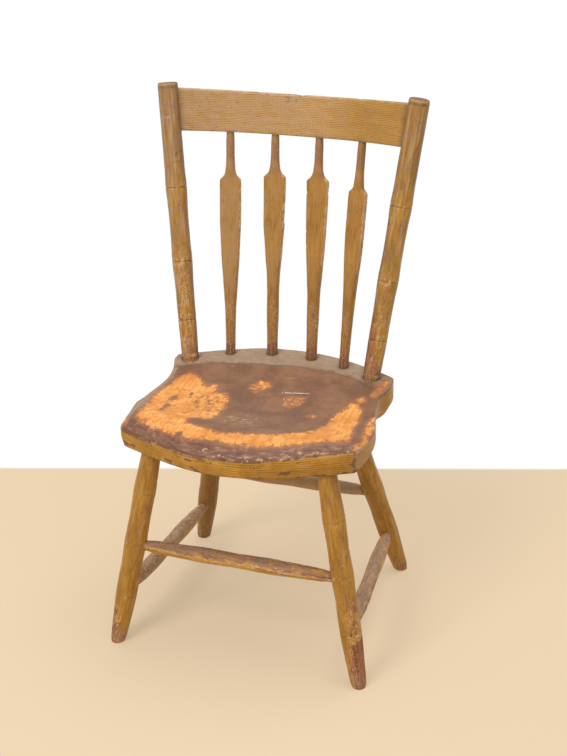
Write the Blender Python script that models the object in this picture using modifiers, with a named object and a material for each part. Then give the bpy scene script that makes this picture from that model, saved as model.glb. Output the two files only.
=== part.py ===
"""A wooden side chair with a shaped plank seat, four raked legs joined by stretchers,
two leaning back posts, a bowed crest rail and four arrow-shaped spindles.

Metres, +Z up, the chair faces -Y and its left side is at -X.
Every joint is a blind socket, and a small gap runs all round each tenon.
"""

import math

import bmesh
import bpy
from mathutils import Matrix, Vector

# Gap left between a tenon and its socket, and at the socket's end.
FIT_GAP = 0.0003

# Points of a turning closer together than this are one point.
MERGE_DISTANCE = 0.00001

# The seat: a thick plank with a shallow saddle, a flat deck behind it and a rolled front edge.
SEAT_DECK_HEIGHT = 0.409
SEAT_THICKNESS = 0.0515
SEAT_HALF_WIDTH = 0.2055
SEAT_FRONT_REACH = 0.1815
SEAT_BACK_REACH = 0.173
SEAT_TOP_ROUNDING = 0.003
SEAT_UNDER_BEVEL_HEIGHT = 0.018
SEAT_UNDER_BEVEL_IN = 0.009
# The plank is sawn a little askew: its right side sits this share of its place further back.
SEAT_SKEW = 0.040
SEAT_FRONT_BEVEL_IN = 0.003
# Where the bevel under the sides begins and is full, as shares of the front reach.
SEAT_BEVEL_START = -0.70
SEAT_BEVEL_FULL = -0.25
# The two halves of the outline, each from the middle of the front edge round to the middle of
# the back edge, as shares of the half width and of the front or back reach. They are unlike:
# the plank was sawn by eye.
SEAT_OUTLINE_RIGHT = (
    (0.000, -1.000), (0.230, -0.976), (0.460, -0.907), (0.690, -0.800), (0.830, -0.730),
    (0.905, -0.692), (0.937, -0.676), (0.951, -0.648), (0.975, -0.570), (0.997, -0.460),
    (1.000, -0.360), (0.982, -0.230), (0.941, -0.070), (0.903, 0.100), (0.887, 0.240),
    (0.898, 0.330), (0.926, 0.410), (0.938, 0.490), (0.931, 0.590), (0.895, 0.655),
    (0.687, 0.780), (0.458, 0.900), (0.230, 0.975), (0.000, 1.000),
)
SEAT_OUTLINE_LEFT = (
    (0.000, -1.000), (0.230, -0.976), (0.460, -0.907), (0.690, -0.805), (0.850, -0.730),
    (0.905, -0.700), (0.932, -0.655), (0.938, -0.560), (0.937, -0.430), (0.931, -0.240),
    (0.915, -0.060), (0.891, 0.100), (0.875, 0.240), (0.876, 0.350), (0.892, 0.460),
    (0.914, 0.550), (0.915, 0.620), (0.895, 0.668), (0.687, 0.780), (0.458, 0.900),
    (0.230, 0.975), (0.000, 1.000),
)
OUTLINE_STEPS = 3

# The rolled front edge: how far it falls and how far back it starts. Along the sides it fades
# out between two places, given as shares of the front reach.
FRONT_ROLL_DROP = 0.021
FRONT_ROLL_DEPTH = 0.045
FRONT_ROLL_SIDE_SHARE = 0.55
FRONT_ROLL_STEPS = 6
ROLL_FULL = -0.70
ROLL_END = -0.10

# The saddle: half its width, its front and back ends and its depth.
SADDLE_HALF_WIDTH = 0.360
SADDLE_HALF_LENGTH = 0.108
SADDLE_MIDDLE_Y = -0.002
SADDLE_DEPTH = 0.015
SADDLE_BOWL_HEIGHT = 0.050

# The gutter cut in front of the deck.
GUTTER_RADIUS = 0.416
GUTTER_MIDDLE_Y = 0.114
GUTTER_HALF_WIDTH = 0.0028
GUTTER_DEPTH = 0.0022

# Legs. Places on the seat are shares of the half width and of the front or back reach.
LEG_SOCKET_DEPTH = 0.026
LEG_TOP_RADIUS = 0.0147
LEG_STRAIGHT_BELOW_SEAT = 0.005
FRONT_LEG_PLACE = (0.704, -0.613)
FRONT_LEG_OUT_ANGLE = 10.5
FRONT_LEG_FORWARD_ANGLE = 9.3
REAR_LEG_PLACE = (0.539, 0.551)
REAR_LEG_OUT_ANGLE = 12.55
REAR_LEG_BACK_ANGLE = 11.7
# Share of the length from the floor to the seat, and the radius there.
LEG_PROFILE = (
    (0.012, 0.0124), (0.030, 0.0131), (0.140, 0.0155), (0.243, 0.0174), (0.251, 0.0166),
    (0.259, 0.0175), (0.320, 0.0176), (0.390, 0.0171), (0.450, 0.0175), (0.511, 0.0183),
    (0.519, 0.0175), (0.527, 0.0183), (0.570, 0.0178), (0.640, 0.0171), (0.700, 0.0174),
    (0.764, 0.0182), (0.772, 0.0174), (0.780, 0.0181), (0.860, 0.0170), (0.930, 0.0160),
)
FOOT_RADIUS = 0.0110
FOOT_OVERRUN = 0.004
FOOT_OVERRUN_RADIUS = 0.0094

# Stretchers. Heights are shares of the height of the seat's underside.
FRONT_STRETCHER_HEIGHT = 0.503
REAR_STRETCHER_HEIGHT = 0.484
SIDE_STRETCHER_FRONT_HEIGHT = 0.266
SIDE_STRETCHER_REAR_HEIGHT = 0.236
STRETCHER_END_RADIUS = 0.0083
STRETCHER_HIP_RADIUS = 0.0101
STRETCHER_RING_RADIUS = 0.0127
STRETCHER_RING_CUT = 0.0006
STRETCHER_SWELL_FALL = 0.0010
STRETCHER_RING_HALF_LENGTH = 0.004
STRETCHER_SWELL_HALF_LENGTH = 0.026
STRETCHER_PAST_AXIS = 0.002
STRETCHER_NECK_LENGTH = 0.022
STRETCHER_HIP_PLACE = 0.034
FRONT_RING_SHARES = (0.345, 0.675)
SIDE_RING_SHARES = (0.270, 0.685)

# Back posts, which lean back and outward and carry the crest rail.
POST_PLACE = (0.770, 0.592)
POST_RISE = 0.4487
POST_OUT_ANGLE = 6.64
POST_BACK_ANGLE = 10.85
# The back has racked: at the seat the posts stand this far to the left of true, and they sit
# askew, as the seat does.
POST_RACK = 0.0039
POST_SKEW = 0.030
POST_SOCKET_DEPTH = 0.030
POST_BASE_RADIUS = 0.0139
POST_STRAIGHT_ABOVE_SEAT = 0.005
# Share of the length from the deck to the top, and the radius there.
POST_PROFILE = (
    (0.060, 0.0146), (0.139, 0.0151), (0.1473, 0.0143), (0.155, 0.0151), (0.220, 0.0152),
    (0.290, 0.0158), (0.356, 0.0170), (0.3646, 0.0162), (0.373, 0.0170), (0.430, 0.0162),
    (0.500, 0.0161), (0.570, 0.0166), (0.624, 0.0176), (0.6322, 0.0168), (0.640, 0.0175),
    (0.700, 0.0167), (0.800, 0.0166), (0.930, 0.0168), (0.985, 0.0166), (0.996, 0.0151),
    (1.000, 0.0127),
)

# Crest rail: a bent board whose ends are let into the posts.
CREST_BOTTOM_RISE = 0.3735
CREST_HEIGHT = 0.0687
CREST_MIDDLE_DIP = 0.0026
CREST_THICKNESS = 0.0140
CREST_EDGE_RADIUS = 0.0035
CREST_BOW = 0.0435
CREST_BOW_POWER = 2.5
CREST_STATIONS = 32
CREST_CORNER_STEPS = 3

# Spindles: round at the foot and neck, with a flat arrow-shaped paddle between.
SPINDLE_SEAT_DEPTH = 0.020
SPINDLE_CREST_DEPTH = 0.012
SPINDLE_TOP_TENON_RADIUS = 0.0042
SPINDLE_SHOULDER_GAP = 0.0007
SPINDLE_NECK_RADIUS = 0.0070
PADDLE_HALF_THICKNESS = 0.0052
# Squareness of a cross section: round at the foot and neck, nearly a rectangle in the paddle.
ROUND = 2.0
PADDLE_SQUARENESS = 4.0
# Shares of a spindle's length, with the radius of the round foot as a share of its smallest.
SPINDLE_FOOT_STATIONS = ((0.040, 1.00), (0.120, 1.05), (0.200, 1.13))
# Shares of the length along the paddle, with its half thickness as a share of its thinnest,
# and its squareness.
PADDLE_STATIONS = (
    (0.280, 1.70, 2.2), (0.360, 1.60, 2.8), (0.440, 1.40, 3.4), (0.520, 1.20, PADDLE_SQUARENESS),
    (0.600, 1.08, PADDLE_SQUARENESS), (0.700, 1.00, PADDLE_SQUARENESS),
)
# From the shoulder on, where the first number is added to the shoulder's share: half width as
# a share of the paddle's and squareness.
SHOULDER_STATIONS = (
    (-0.006, 1.00, PADDLE_SQUARENESS), (0.003, 0.93, PADDLE_SQUARENESS), (0.010, 0.79, 3.2),
    (0.019, 0.63, 2.8), (0.030, 0.53, 2.5),
)
# And the neck's half width and half thickness, as shares of the neck radius.
NECK_STATIONS = ((0.049, 1.15, 0.92), (0.070, 1.06, 0.98), (0.105, 1.00, 1.00))
SPINDLE_NECK_END = 0.955
SPINDLE_TIP_SHARE = 0.92
# name, place across the crest, place on the seat, foot radius, shoulder share, the paddle's
# half width at each of its stations and at the shoulder. The four were shaped by hand.
SPINDLES = (
    ("spindle_outer_left", -0.556, (-0.4954, 0.764), 0.0082, 0.791,
     (0.0112, 0.0130, 0.0150, 0.0161, 0.0175, 0.0176), 0.0175),
    ("spindle_inner_left", -0.184, (-0.1586, 0.860), 0.0091, 0.813,
     (0.0102, 0.0106, 0.0128, 0.0150, 0.0175, 0.0179), 0.0183),
    ("spindle_inner_right", 0.190, (0.1825, 0.860), 0.0092, 0.810,
     (0.0106, 0.0120, 0.0137, 0.0154, 0.0169, 0.0179), 0.0186),
    ("spindle_outer_right", 0.560, (0.4834, 0.764), 0.0081, 0.781,
     (0.0099, 0.0109, 0.0125, 0.0144, 0.0155, 0.0160), 0.0159),
)
# Half the stretch of crest, as a share, whose chord sets the way a paddle faces.
FACING_STEP = 0.01

# Numbers of sides round the turned pieces, the spindles, the sockets and the wide ring cuts.
TURNED_SIDES = 20
SPINDLE_SIDES = 16
SOCKET_SIDES = 20
RING_SIDES = 140
BALL_SIDES = 44
# A small turn of the wide cutters, which keeps their edges off the seat's own edges.
CUTTER_TURN = 0.013
SMOOTH_ANGLE = 32.0

# Paint colours in linear light: the worn mustard of the frame and the brown of the seat.
MUSTARD = (0.36, 0.19, 0.035)
OCHRE_BROWN = (0.30, 0.145, 0.035)
DUSTY_BROWN = (0.21, 0.12, 0.065)
SEAT_BROWN = (0.12, 0.062, 0.040)
PAINT_ROUGHNESS = 0.55

SEAT_UNDERSIDE = SEAT_DECK_HEIGHT - SEAT_THICKNESS


def clear_scene():
    """Take away whatever the new file holds."""
    for thing in list(bpy.data.objects):
        bpy.data.objects.remove(thing, do_unlink=True)


def new_collection(name):
    """Make a collection in the scene."""
    collection = bpy.data.collections.new(name)
    bpy.context.scene.collection.children.link(collection)
    return collection


def paint(name, colour, roughness=PAINT_ROUGHNESS):
    """Make one paint material."""
    material = bpy.data.materials.new(name)
    material.use_nodes = True
    shader = material.node_tree.nodes["Principled BSDF"]
    shader.inputs["Base Color"].default_value = (*colour, 1.0)
    shader.inputs["Roughness"].default_value = roughness
    shader.inputs["Metallic"].default_value = 0.0
    return material


def smooth(mesh):
    """Shade a mesh smooth, with its real edges kept sharp."""
    mesh.shade_smooth()
    mesh.set_sharp_from_angle(angle=math.radians(SMOOTH_ANGLE))


def body_from(name, shape, collection):
    """Make an object of a finished bmesh."""
    mesh = bpy.data.meshes.new(name)
    shape.to_mesh(mesh)
    shape.free()
    smooth(mesh)
    thing = bpy.data.objects.new(name, mesh)
    collection.objects.link(thing)
    return thing


def loft(name, rings, collection):
    """Join rings of equally many points into one closed body, the first ring lowest."""
    shape = bmesh.new()
    rows = [[shape.verts.new(point) for point in ring] for ring in rings]
    for lower, upper in zip(rows, rows[1:]):
        for i in range(len(lower)):
            j = (i + 1) % len(lower)
            shape.faces.new((lower[i], lower[j], upper[j], upper[i]))
    shape.faces.new(list(reversed(rows[0])))
    shape.faces.new(rows[-1])
    bmesh.ops.recalc_face_normals(shape, faces=shape.faces)
    return body_from(name, shape, collection)


def turn_about_z(name, points, edges, sides, collection):
    """Turn a profile of (radius, height) points round local Z."""
    outline = bpy.data.meshes.new(name)
    outline.from_pydata([(r, 0.0, z) for r, z in points], edges, [])
    blank = bpy.data.objects.new(name, outline)
    collection.objects.link(blank)
    screw = blank.modifiers.new("turn", "SCREW")
    screw.axis = "Z"
    screw.steps = sides
    screw.render_steps = sides
    screw.use_merge_vertices = True
    screw.merge_threshold = MERGE_DISTANCE
    screw.use_smooth_shade = True
    return blank


def turned(name, profile, collection):
    """A solid turning: its profile is listed from the top down and closed on the axis."""
    points = [(0.0, profile[0][1])] + list(profile) + [(0.0, profile[-1][1])]
    edges = [(i, i + 1) for i in range(len(points) - 1)]
    return turn_about_z(name, points, edges, TURNED_SIDES, collection)


def cut(thing, cutter):
    """Cut one body out of another."""
    boolean = thing.modifiers.new(cutter.name, "BOOLEAN")
    boolean.operation = "DIFFERENCE"
    boolean.solver = "EXACT"
    boolean.object = cutter


def hide_cutter(cutter):
    """Keep a cutting body out of the picture."""
    cutter.hide_render = True
    cutter.display_type = "WIRE"
    return cutter


def socket_cutter(name, mouth, end, radius, run_out, cutters):
    """A round socket from its mouth to its end, carried run_out beyond the mouth."""
    axis = (end - mouth).normalized()
    start = mouth - axis * run_out
    length = (end - start).length + FIT_GAP
    wide = radius + FIT_GAP
    shape = bmesh.new()
    bmesh.ops.create_cone(shape, cap_ends=True, segments=SOCKET_SIDES, radius1=wide, radius2=wide,
                          depth=length)
    bmesh.ops.translate(shape, verts=shape.verts, vec=(0.0, 0.0, length / 2.0))
    cutter = body_from(name, shape, cutters)
    aim(cutter, start, axis)
    return hide_cutter(cutter)


def aim(thing, start, axis, face=None):
    """Put a thing's origin at start with its local Z along axis and its local X near face."""
    z = axis.normalized()
    x = Vector((1.0, 0.0, 0.0)) if face is None else face.normalized()
    if abs(x.dot(z)) > 0.95:
        x = Vector((0.0, 1.0, 0.0))
    y = z.cross(x).normalized()
    x = y.cross(z).normalized()
    thing.location = start
    thing.rotation_euler = Matrix((x, y, z)).transposed().to_euler()


def on_seat(share_x, share_y, height):
    """A point over the seat, from shares of its half width and reach."""
    reach = SEAT_FRONT_REACH if share_y < 0 else SEAT_BACK_REACH
    return Vector((share_x * SEAT_HALF_WIDTH, share_y * reach, height))


def through(points, steps):
    """Points of a smooth open line through the given ones."""
    line = []
    for i in range(len(points) - 1):
        before = points[max(i - 1, 0)]
        a, b = points[i], points[i + 1]
        after = points[min(i + 2, len(points) - 1)]
        for k in range(steps):
            t = k / steps
            line.append((2 * a + (b - before) * t + (2 * before - 5 * a + 4 * b - after) * t ** 2
                         + (3 * a - before - 3 * b + after) * t ** 3) / 2)
    line.append(points[-1])
    return line


def seat_outline():
    """The whole outline of the seat, anticlockwise from above."""
    right = through([on_seat(x, y, 0.0) for x, y in SEAT_OUTLINE_RIGHT], OUTLINE_STEPS)
    left = through([on_seat(-x, y, 0.0) for x, y in SEAT_OUTLINE_LEFT], OUTLINE_STEPS)
    whole = right + list(reversed(left[1:-1]))
    return [Vector((p.x, p.y + SEAT_SKEW * p.x, 0.0)) for p in whole]


def between(low, high, share):
    """The value a share of the way from low to high."""
    return low + (high - low) * share


def ramp(value, start, full):
    """Nought at start, one at full, and smooth between."""
    share = min(1.0, max(0.0, (value - start) / (full - start)))
    return share * share * (3.0 - 2.0 * share)


def drawn_in(point, side, end, height):
    """A point of the outline drawn in toward the seat's middle, at a height."""
    reach = SEAT_FRONT_REACH if point.y < 0.0 else SEAT_BACK_REACH
    return Vector((point.x * (1.0 - side / SEAT_HALF_WIDTH), point.y * (1.0 - end / reach),
                   height))


def underside_point(point):
    """The underside is drawn in a little at the front and more along the sides and back."""
    share = point.y / SEAT_FRONT_REACH
    side = between(SEAT_FRONT_BEVEL_IN, SEAT_UNDER_BEVEL_IN,
                   ramp(share, SEAT_BEVEL_START, SEAT_BEVEL_FULL))
    end = SEAT_FRONT_BEVEL_IN if point.y < 0.0 else SEAT_UNDER_BEVEL_IN
    return drawn_in(point, side, end, SEAT_UNDERSIDE)


def edge_point(point, turn):
    """A point of the rounded upper edge: turn 0 is its top and a quarter turn its foot."""
    front = ramp(point.y / SEAT_FRONT_REACH, ROLL_END, ROLL_FULL)
    depth = between(SEAT_TOP_ROUNDING, FRONT_ROLL_DEPTH, front) * (1.0 - math.sin(turn))
    drop = between(SEAT_TOP_ROUNDING, FRONT_ROLL_DROP, front) * (1.0 - math.cos(turn))
    side = depth * between(1.0, FRONT_ROLL_SIDE_SHARE, front)
    return drawn_in(point, side, depth, SEAT_DECK_HEIGHT - drop)


def make_seat(collection, cutters):
    """The plank: bevelled under its sides and back, rolled over at the front, then dished."""
    points = seat_outline()
    bevel_top = SEAT_UNDERSIDE + SEAT_UNDER_BEVEL_HEIGHT
    rings = [[underside_point(point) for point in points],
             [drawn_in(point, 0.0, 0.0, bevel_top) for point in points]]
    for k in reversed(range(FRONT_ROLL_STEPS + 1)):
        turn = math.radians(90.0) * k / FRONT_ROLL_STEPS
        rings.append([edge_point(point, turn) for point in points])
    seat = loft("seat", rings, collection)
    seat.data.materials.append(paint("seat", SEAT_BROWN))
    cut(seat, saddle_cutter(cutters))
    cut(seat, gutter_cutter(cutters))
    return seat


def gutter_cutter(cutters):
    """A thin wide ring that cuts the shallow gutter in front of the deck."""
    wide = 2.0 * GUTTER_HALF_WIDTH
    profile = [
        (GUTTER_RADIUS - wide, GUTTER_DEPTH),
        (GUTTER_RADIUS + wide, GUTTER_DEPTH),
        (GUTTER_RADIUS, -GUTTER_DEPTH),
    ]
    edges = [(i, (i + 1) % len(profile)) for i in range(len(profile))]
    ring = turn_about_z("gutter_cut", profile, edges, RING_SIDES, cutters)
    ring.location = (0.0, GUTTER_MIDDLE_Y - GUTTER_RADIUS, SEAT_DECK_HEIGHT)
    ring.rotation_euler.z = CUTTER_TURN
    return hide_cutter(ring)


def saddle_cutter(cutters):
    """A flattened ball whose lower end dishes the seat."""
    level = (SADDLE_BOWL_HEIGHT - SADDLE_DEPTH) / SADDLE_BOWL_HEIGHT
    spread = math.sqrt(1.0 - level * level)
    shape = bmesh.new()
    bmesh.ops.create_uvsphere(shape, u_segments=BALL_SIDES, v_segments=BALL_SIDES, radius=1.0)
    bmesh.ops.rotate(shape, verts=shape.verts, matrix=Matrix.Rotation(CUTTER_TURN, 3, "Z"))
    size = (SADDLE_HALF_WIDTH / spread, SADDLE_HALF_LENGTH / spread, SADDLE_BOWL_HEIGHT)
    bmesh.ops.scale(shape, vec=size, verts=shape.verts)
    ball = body_from("saddle_cut", shape, cutters)
    ball.location = (0.0, SADDLE_MIDDLE_Y, SEAT_DECK_HEIGHT + SADDLE_BOWL_HEIGHT - SADDLE_DEPTH)
    return hide_cutter(ball)


def leg_line(side, front):
    """The foot and the seat end of a leg's middle line, both at the outside of the wood."""
    if front:
        place, out_angle, along = FRONT_LEG_PLACE, FRONT_LEG_OUT_ANGLE, -FRONT_LEG_FORWARD_ANGLE
    else:
        place, out_angle, along = REAR_LEG_PLACE, REAR_LEG_OUT_ANGLE, REAR_LEG_BACK_ANGLE
    top = on_seat(side * place[0], place[1], SEAT_UNDERSIDE)
    run_x = side * math.tan(math.radians(out_angle)) * SEAT_UNDERSIDE
    run_y = math.tan(math.radians(along)) * SEAT_UNDERSIDE
    foot = Vector((top.x + run_x, top.y + run_y, 0.0))
    return foot, top


def make_leg(name, side, front, seat, floor, collection, cutters):
    """One leg, turned with three rings, cut level at the floor and let into the seat."""
    foot, top = leg_line(side, front)
    axis = (top - foot).normalized()
    length = (top - foot).length
    profile = [(LEG_TOP_RADIUS, length + LEG_SOCKET_DEPTH),
               (LEG_TOP_RADIUS, length - LEG_STRAIGHT_BELOW_SEAT)]
    profile += [(radius, share * length) for share, radius in reversed(LEG_PROFILE)]
    profile += [(FOOT_RADIUS, 0.0), (FOOT_OVERRUN_RADIUS, -FOOT_OVERRUN)]
    leg = turned(name, profile, collection)
    aim(leg, foot, axis)
    leg.data.materials.append(paint(name, MUSTARD))
    cut(leg, floor)
    end = top + axis * LEG_SOCKET_DEPTH
    cut(seat, socket_cutter(name + "_socket", top, end, LEG_TOP_RADIUS, LEG_TOP_RADIUS, cutters))
    return leg


def floor_cutter(cutters):
    """A block below the floor that levels the feet."""
    wide = 4.0 * (SEAT_HALF_WIDTH + SEAT_UNDERSIDE)
    deep = 10.0 * FOOT_OVERRUN
    shape = bmesh.new()
    bmesh.ops.create_cube(shape, size=1.0)
    bmesh.ops.scale(shape, vec=(wide, wide, deep), verts=shape.verts)
    block = body_from("floor_cut", shape, cutters)
    block.location = (0.0, 0.0, -deep / 2.0)
    return hide_cutter(block)


def along_leg(side, front, share):
    """The point of a leg's middle line at a share of the height of the seat's underside."""
    foot, top = leg_line(side, front)
    return foot + (top - foot) * share


def make_stretcher(name, start, end, ring_shares, legs, collection, cutters):
    """One stretcher with two rings, its ends in blind sockets of the two legs."""
    axis = (end - start).normalized()
    span = (end - start).length
    low, neck, hip = -STRETCHER_PAST_AXIS, STRETCHER_NECK_LENGTH, STRETCHER_HIP_PLACE
    thin, ring = STRETCHER_END_RADIUS, STRETCHER_RING_RADIUS
    half, swell = STRETCHER_RING_HALF_LENGTH, STRETCHER_SWELL_HALF_LENGTH
    fallen = ring - STRETCHER_SWELL_FALL
    rising = [(low, thin), (neck, thin), (hip, STRETCHER_HIP_RADIUS)]
    for share in ring_shares:
        at = share * span
        rising += [(at - swell, fallen), (at - half, ring), (at, ring - STRETCHER_RING_CUT),
                   (at + half, ring), (at + swell, fallen)]
    rising += [(span - hip, STRETCHER_HIP_RADIUS), (span - neck, thin), (span - low, thin)]
    stretcher = turned(name, [(r, z) for z, r in reversed(rising)], collection)
    aim(stretcher, start, axis)
    stretcher.data.materials.append(paint(name, DUSTY_BROWN))
    reach = neck - FIT_GAP
    first = socket_cutter(name + "_first_socket", start + axis * reach,
                          start - axis * STRETCHER_PAST_AXIS, thin, 0.0, cutters)
    second = socket_cutter(name + "_second_socket", end - axis * reach,
                           end + axis * STRETCHER_PAST_AXIS, thin, 0.0, cutters)
    cut(legs[0], first)
    cut(legs[1], second)
    return stretcher


def true_post_point(side, rise):
    """The point of a post's middle line at a rise above the deck, if the back were true."""
    base = on_seat(side * POST_PLACE[0], POST_PLACE[1], SEAT_DECK_HEIGHT)
    out = side * math.tan(math.radians(POST_OUT_ANGLE)) * rise
    back = math.tan(math.radians(POST_BACK_ANGLE)) * rise
    return base + Vector((out, back, rise))


def post_point(side, rise):
    """The point of a post's middle line at a rise above the deck, in the racked back."""
    point = true_post_point(side, rise)
    below_top = 1.0 - rise / POST_RISE
    point.y += POST_SKEW * point.x * below_top
    point.x -= POST_RACK * below_top
    return point


def make_post(name, side, seat, crest_cut, collection, cutters):
    """One back post, turned with three rings and let into the seat."""
    base = post_point(side, 0.0)
    top = post_point(side, POST_RISE)
    axis = (top - base).normalized()
    length = (top - base).length
    profile = [(radius, share * length) for share, radius in reversed(POST_PROFILE)]
    profile += [(POST_BASE_RADIUS, POST_STRAIGHT_ABOVE_SEAT),
                (POST_BASE_RADIUS, -POST_SOCKET_DEPTH)]
    post = turned(name, profile, collection)
    aim(post, base, axis)
    post.data.materials.append(paint(name, OCHRE_BROWN))
    cut(post, crest_cut)
    end = base - axis * POST_SOCKET_DEPTH
    cut(seat, socket_cutter(name + "_socket", base, end, POST_BASE_RADIUS, POST_BASE_RADIUS,
                            cutters))
    return post


def crest_point(across, up, toward_back=0.0):
    """A point of the crest board: across -1 to 1, up along its height, then through it."""
    lean = math.radians(POST_BACK_ANGLE)
    low = true_post_point(1.0, CREST_BOTTOM_RISE)
    x = across * (low.x + up * math.cos(lean) * math.tan(math.radians(POST_OUT_ANGLE)))
    bow = CREST_BOW * (1.0 - abs(across) ** CREST_BOW_POWER)
    slope = -math.copysign(CREST_BOW * CREST_BOW_POWER * abs(across) ** (CREST_BOW_POWER - 1.0),
                           across) / low.x
    turn = math.atan(slope)
    x -= toward_back * math.sin(turn)
    back = bow + toward_back * math.cos(turn)
    y = low.y + up * math.sin(lean) + back * math.cos(lean)
    z = low.z + up * math.cos(lean) - back * math.sin(lean)
    return Vector((x, y, z))


def crest_section(across, grow):
    """One rounded cross section of the crest board."""
    half = CREST_THICKNESS / 2 + grow
    top = CREST_HEIGHT - CREST_MIDDLE_DIP * (1.0 - across * across) + grow
    low = -grow
    round_off = CREST_EDGE_RADIUS
    centres = ((half - round_off, low + round_off, -90.0), (half - round_off, top - round_off, 0.0),
               (round_off - half, top - round_off, 90.0), (round_off - half, low + round_off, 180.0))
    ring = []
    for back, up, start in centres:
        for k in range(CREST_CORNER_STEPS + 1):
            turn = math.radians(start + 90.0 * k / CREST_CORNER_STEPS)
            ring.append(crest_point(across, up + round_off * math.sin(turn),
                                    back + round_off * math.cos(turn)))
    return ring


def crest_body(name, grow, collection):
    """The bent crest board, grown all round by a gap where it is a cutter."""
    reach = 1.0 + grow / true_post_point(1.0, CREST_BOTTOM_RISE).x
    rings = []
    for k in range(CREST_STATIONS + 1):
        across = reach * (2.0 * k / CREST_STATIONS - 1.0)
        rings.append(crest_section(across, grow))
    return loft(name, rings, collection)


def spindle_sections(length, foot_radius, shoulder, widths, paddle):
    """(height, half width, half thickness, squareness) from the foot to the neck's end."""
    thin, neck = PADDLE_HALF_THICKNESS, SPINDLE_NECK_RADIUS
    rows = []
    for share, grown in SPINDLE_FOOT_STATIONS:
        rows.append((share, foot_radius * grown, foot_radius * grown, ROUND))
    for (share, deep, power), wide in zip(PADDLE_STATIONS, widths):
        rows.append((share, wide, thin * deep, power))
    for past, wide, power in SHOULDER_STATIONS:
        rows.append((shoulder + past, paddle * wide, thin, power))
    for past, wide, deep in NECK_STATIONS:
        rows.append((shoulder + past, neck * wide, neck * deep, ROUND))
    rows.append((SPINDLE_NECK_END, neck, neck, ROUND))
    rows.append((1.0, neck * SPINDLE_TIP_SHARE, neck * SPINDLE_TIP_SHARE, ROUND))
    return [(share * length, wide, deep, power) for share, wide, deep, power in rows]


def spindle_ring(height, wide, deep, power):
    """One cross section of a spindle."""
    ring = []
    for k in range(SPINDLE_SIDES):
        turn = 2.0 * math.pi * k / SPINDLE_SIDES
        c, s = math.cos(turn), math.sin(turn)
        ring.append((wide * math.copysign(abs(c) ** (2.0 / power), c),
                     deep * math.copysign(abs(s) ** (2.0 / power), s), height))
    return ring


def make_spindle(row, seat, crest, collection, cutters):
    """One arrow spindle between the deck and the crest rail."""
    name, across, place, foot_radius, shoulder, widths, paddle = row
    base = on_seat(place[0], place[1], SEAT_DECK_HEIGHT)
    top = crest_point(across, 0.0)
    axis = (top - base).normalized()
    length = (top - base).length - SPINDLE_SHOULDER_GAP
    rings = [spindle_ring(-SPINDLE_SEAT_DEPTH, foot_radius, foot_radius, ROUND)]
    for section in spindle_sections(length, foot_radius, shoulder, widths, paddle):
        rings.append(spindle_ring(*section))
    tenon = SPINDLE_TOP_TENON_RADIUS
    rings.append(spindle_ring(length, tenon, tenon, ROUND))
    rings.append(spindle_ring(length + SPINDLE_CREST_DEPTH, tenon, tenon, ROUND))
    spindle = loft(name, rings, collection)
    face = crest_point(across + FACING_STEP, 0.0) - crest_point(across - FACING_STEP, 0.0)
    aim(spindle, base, axis, face)
    spindle.data.materials.append(paint(name, OCHRE_BROWN))
    foot_end = base - axis * SPINDLE_SEAT_DEPTH
    cut(seat, socket_cutter(name + "_foot_socket", base, foot_end, foot_radius, foot_radius,
                            cutters))
    tenon_end = base + axis * (length + SPINDLE_CREST_DEPTH)
    cut(crest, socket_cutter(name + "_top_socket", base + axis * length, tenon_end, tenon,
                             2.0 * CREST_EDGE_RADIUS, cutters))
    return spindle


def stand_on_middle(parts, cutters):
    """Move everything so that the middle of the chair's box stands over the origin."""
    bpy.context.view_layer.update()
    depsgraph = bpy.context.evaluated_depsgraph_get()
    xs, ys = [], []
    for thing in parts:
        body = thing.evaluated_get(depsgraph)
        for vertex in body.data.vertices:
            place = body.matrix_world @ vertex.co
            xs.append(place.x)
            ys.append(place.y)
    shift = Vector(((min(xs) + max(xs)) / -2.0, (min(ys) + max(ys)) / -2.0, 0.0))
    for thing in list(parts) + list(cutters.objects):
        thing.location = thing.location + shift


def main():
    """Build the chair."""
    clear_scene()
    chair = new_collection("windsor_side_chair")
    cutters = new_collection("cutters")
    cutters.hide_render = True

    seat = make_seat(chair, cutters)
    floor = floor_cutter(cutters)
    legs = {}
    for side, side_name in ((-1.0, "left"), (1.0, "right")):
        for front, end_name in ((True, "front"), (False, "rear")):
            name = "leg_" + end_name + "_" + side_name
            legs[end_name, side_name] = make_leg(name, side, front, seat, floor, chair, cutters)

    parts = [seat] + list(legs.values())
    for end_name, front, share in (("front", True, FRONT_STRETCHER_HEIGHT),
                                   ("rear", False, REAR_STRETCHER_HEIGHT)):
        parts.append(make_stretcher("stretcher_" + end_name, along_leg(-1.0, front, share),
                                    along_leg(1.0, front, share), FRONT_RING_SHARES,
                                    (legs[end_name, "left"], legs[end_name, "right"]),
                                    chair, cutters))
    for side, side_name in ((-1.0, "left"), (1.0, "right")):
        parts.append(make_stretcher("stretcher_" + side_name,
                                    along_leg(side, True, SIDE_STRETCHER_FRONT_HEIGHT),
                                    along_leg(side, False, SIDE_STRETCHER_REAR_HEIGHT),
                                    SIDE_RING_SHARES,
                                    (legs["front", side_name], legs["rear", side_name]),
                                    chair, cutters))

    crest = crest_body("crest_rail", 0.0, chair)
    crest.data.materials.append(paint("crest_rail", OCHRE_BROWN))
    crest_cut = hide_cutter(crest_body("crest_cut", FIT_GAP, cutters))
    parts.append(crest)
    for side, side_name in ((-1.0, "left"), (1.0, "right")):
        parts.append(make_post("post_" + side_name, side, seat, crest_cut, chair, cutters))
    for row in SPINDLES:
        parts.append(make_spindle(row, seat, crest, chair, cutters))
    stand_on_middle(parts, cutters)


main()
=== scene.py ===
import math

import bpy
import numpy as np
from mathutils import Matrix, Vector


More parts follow.
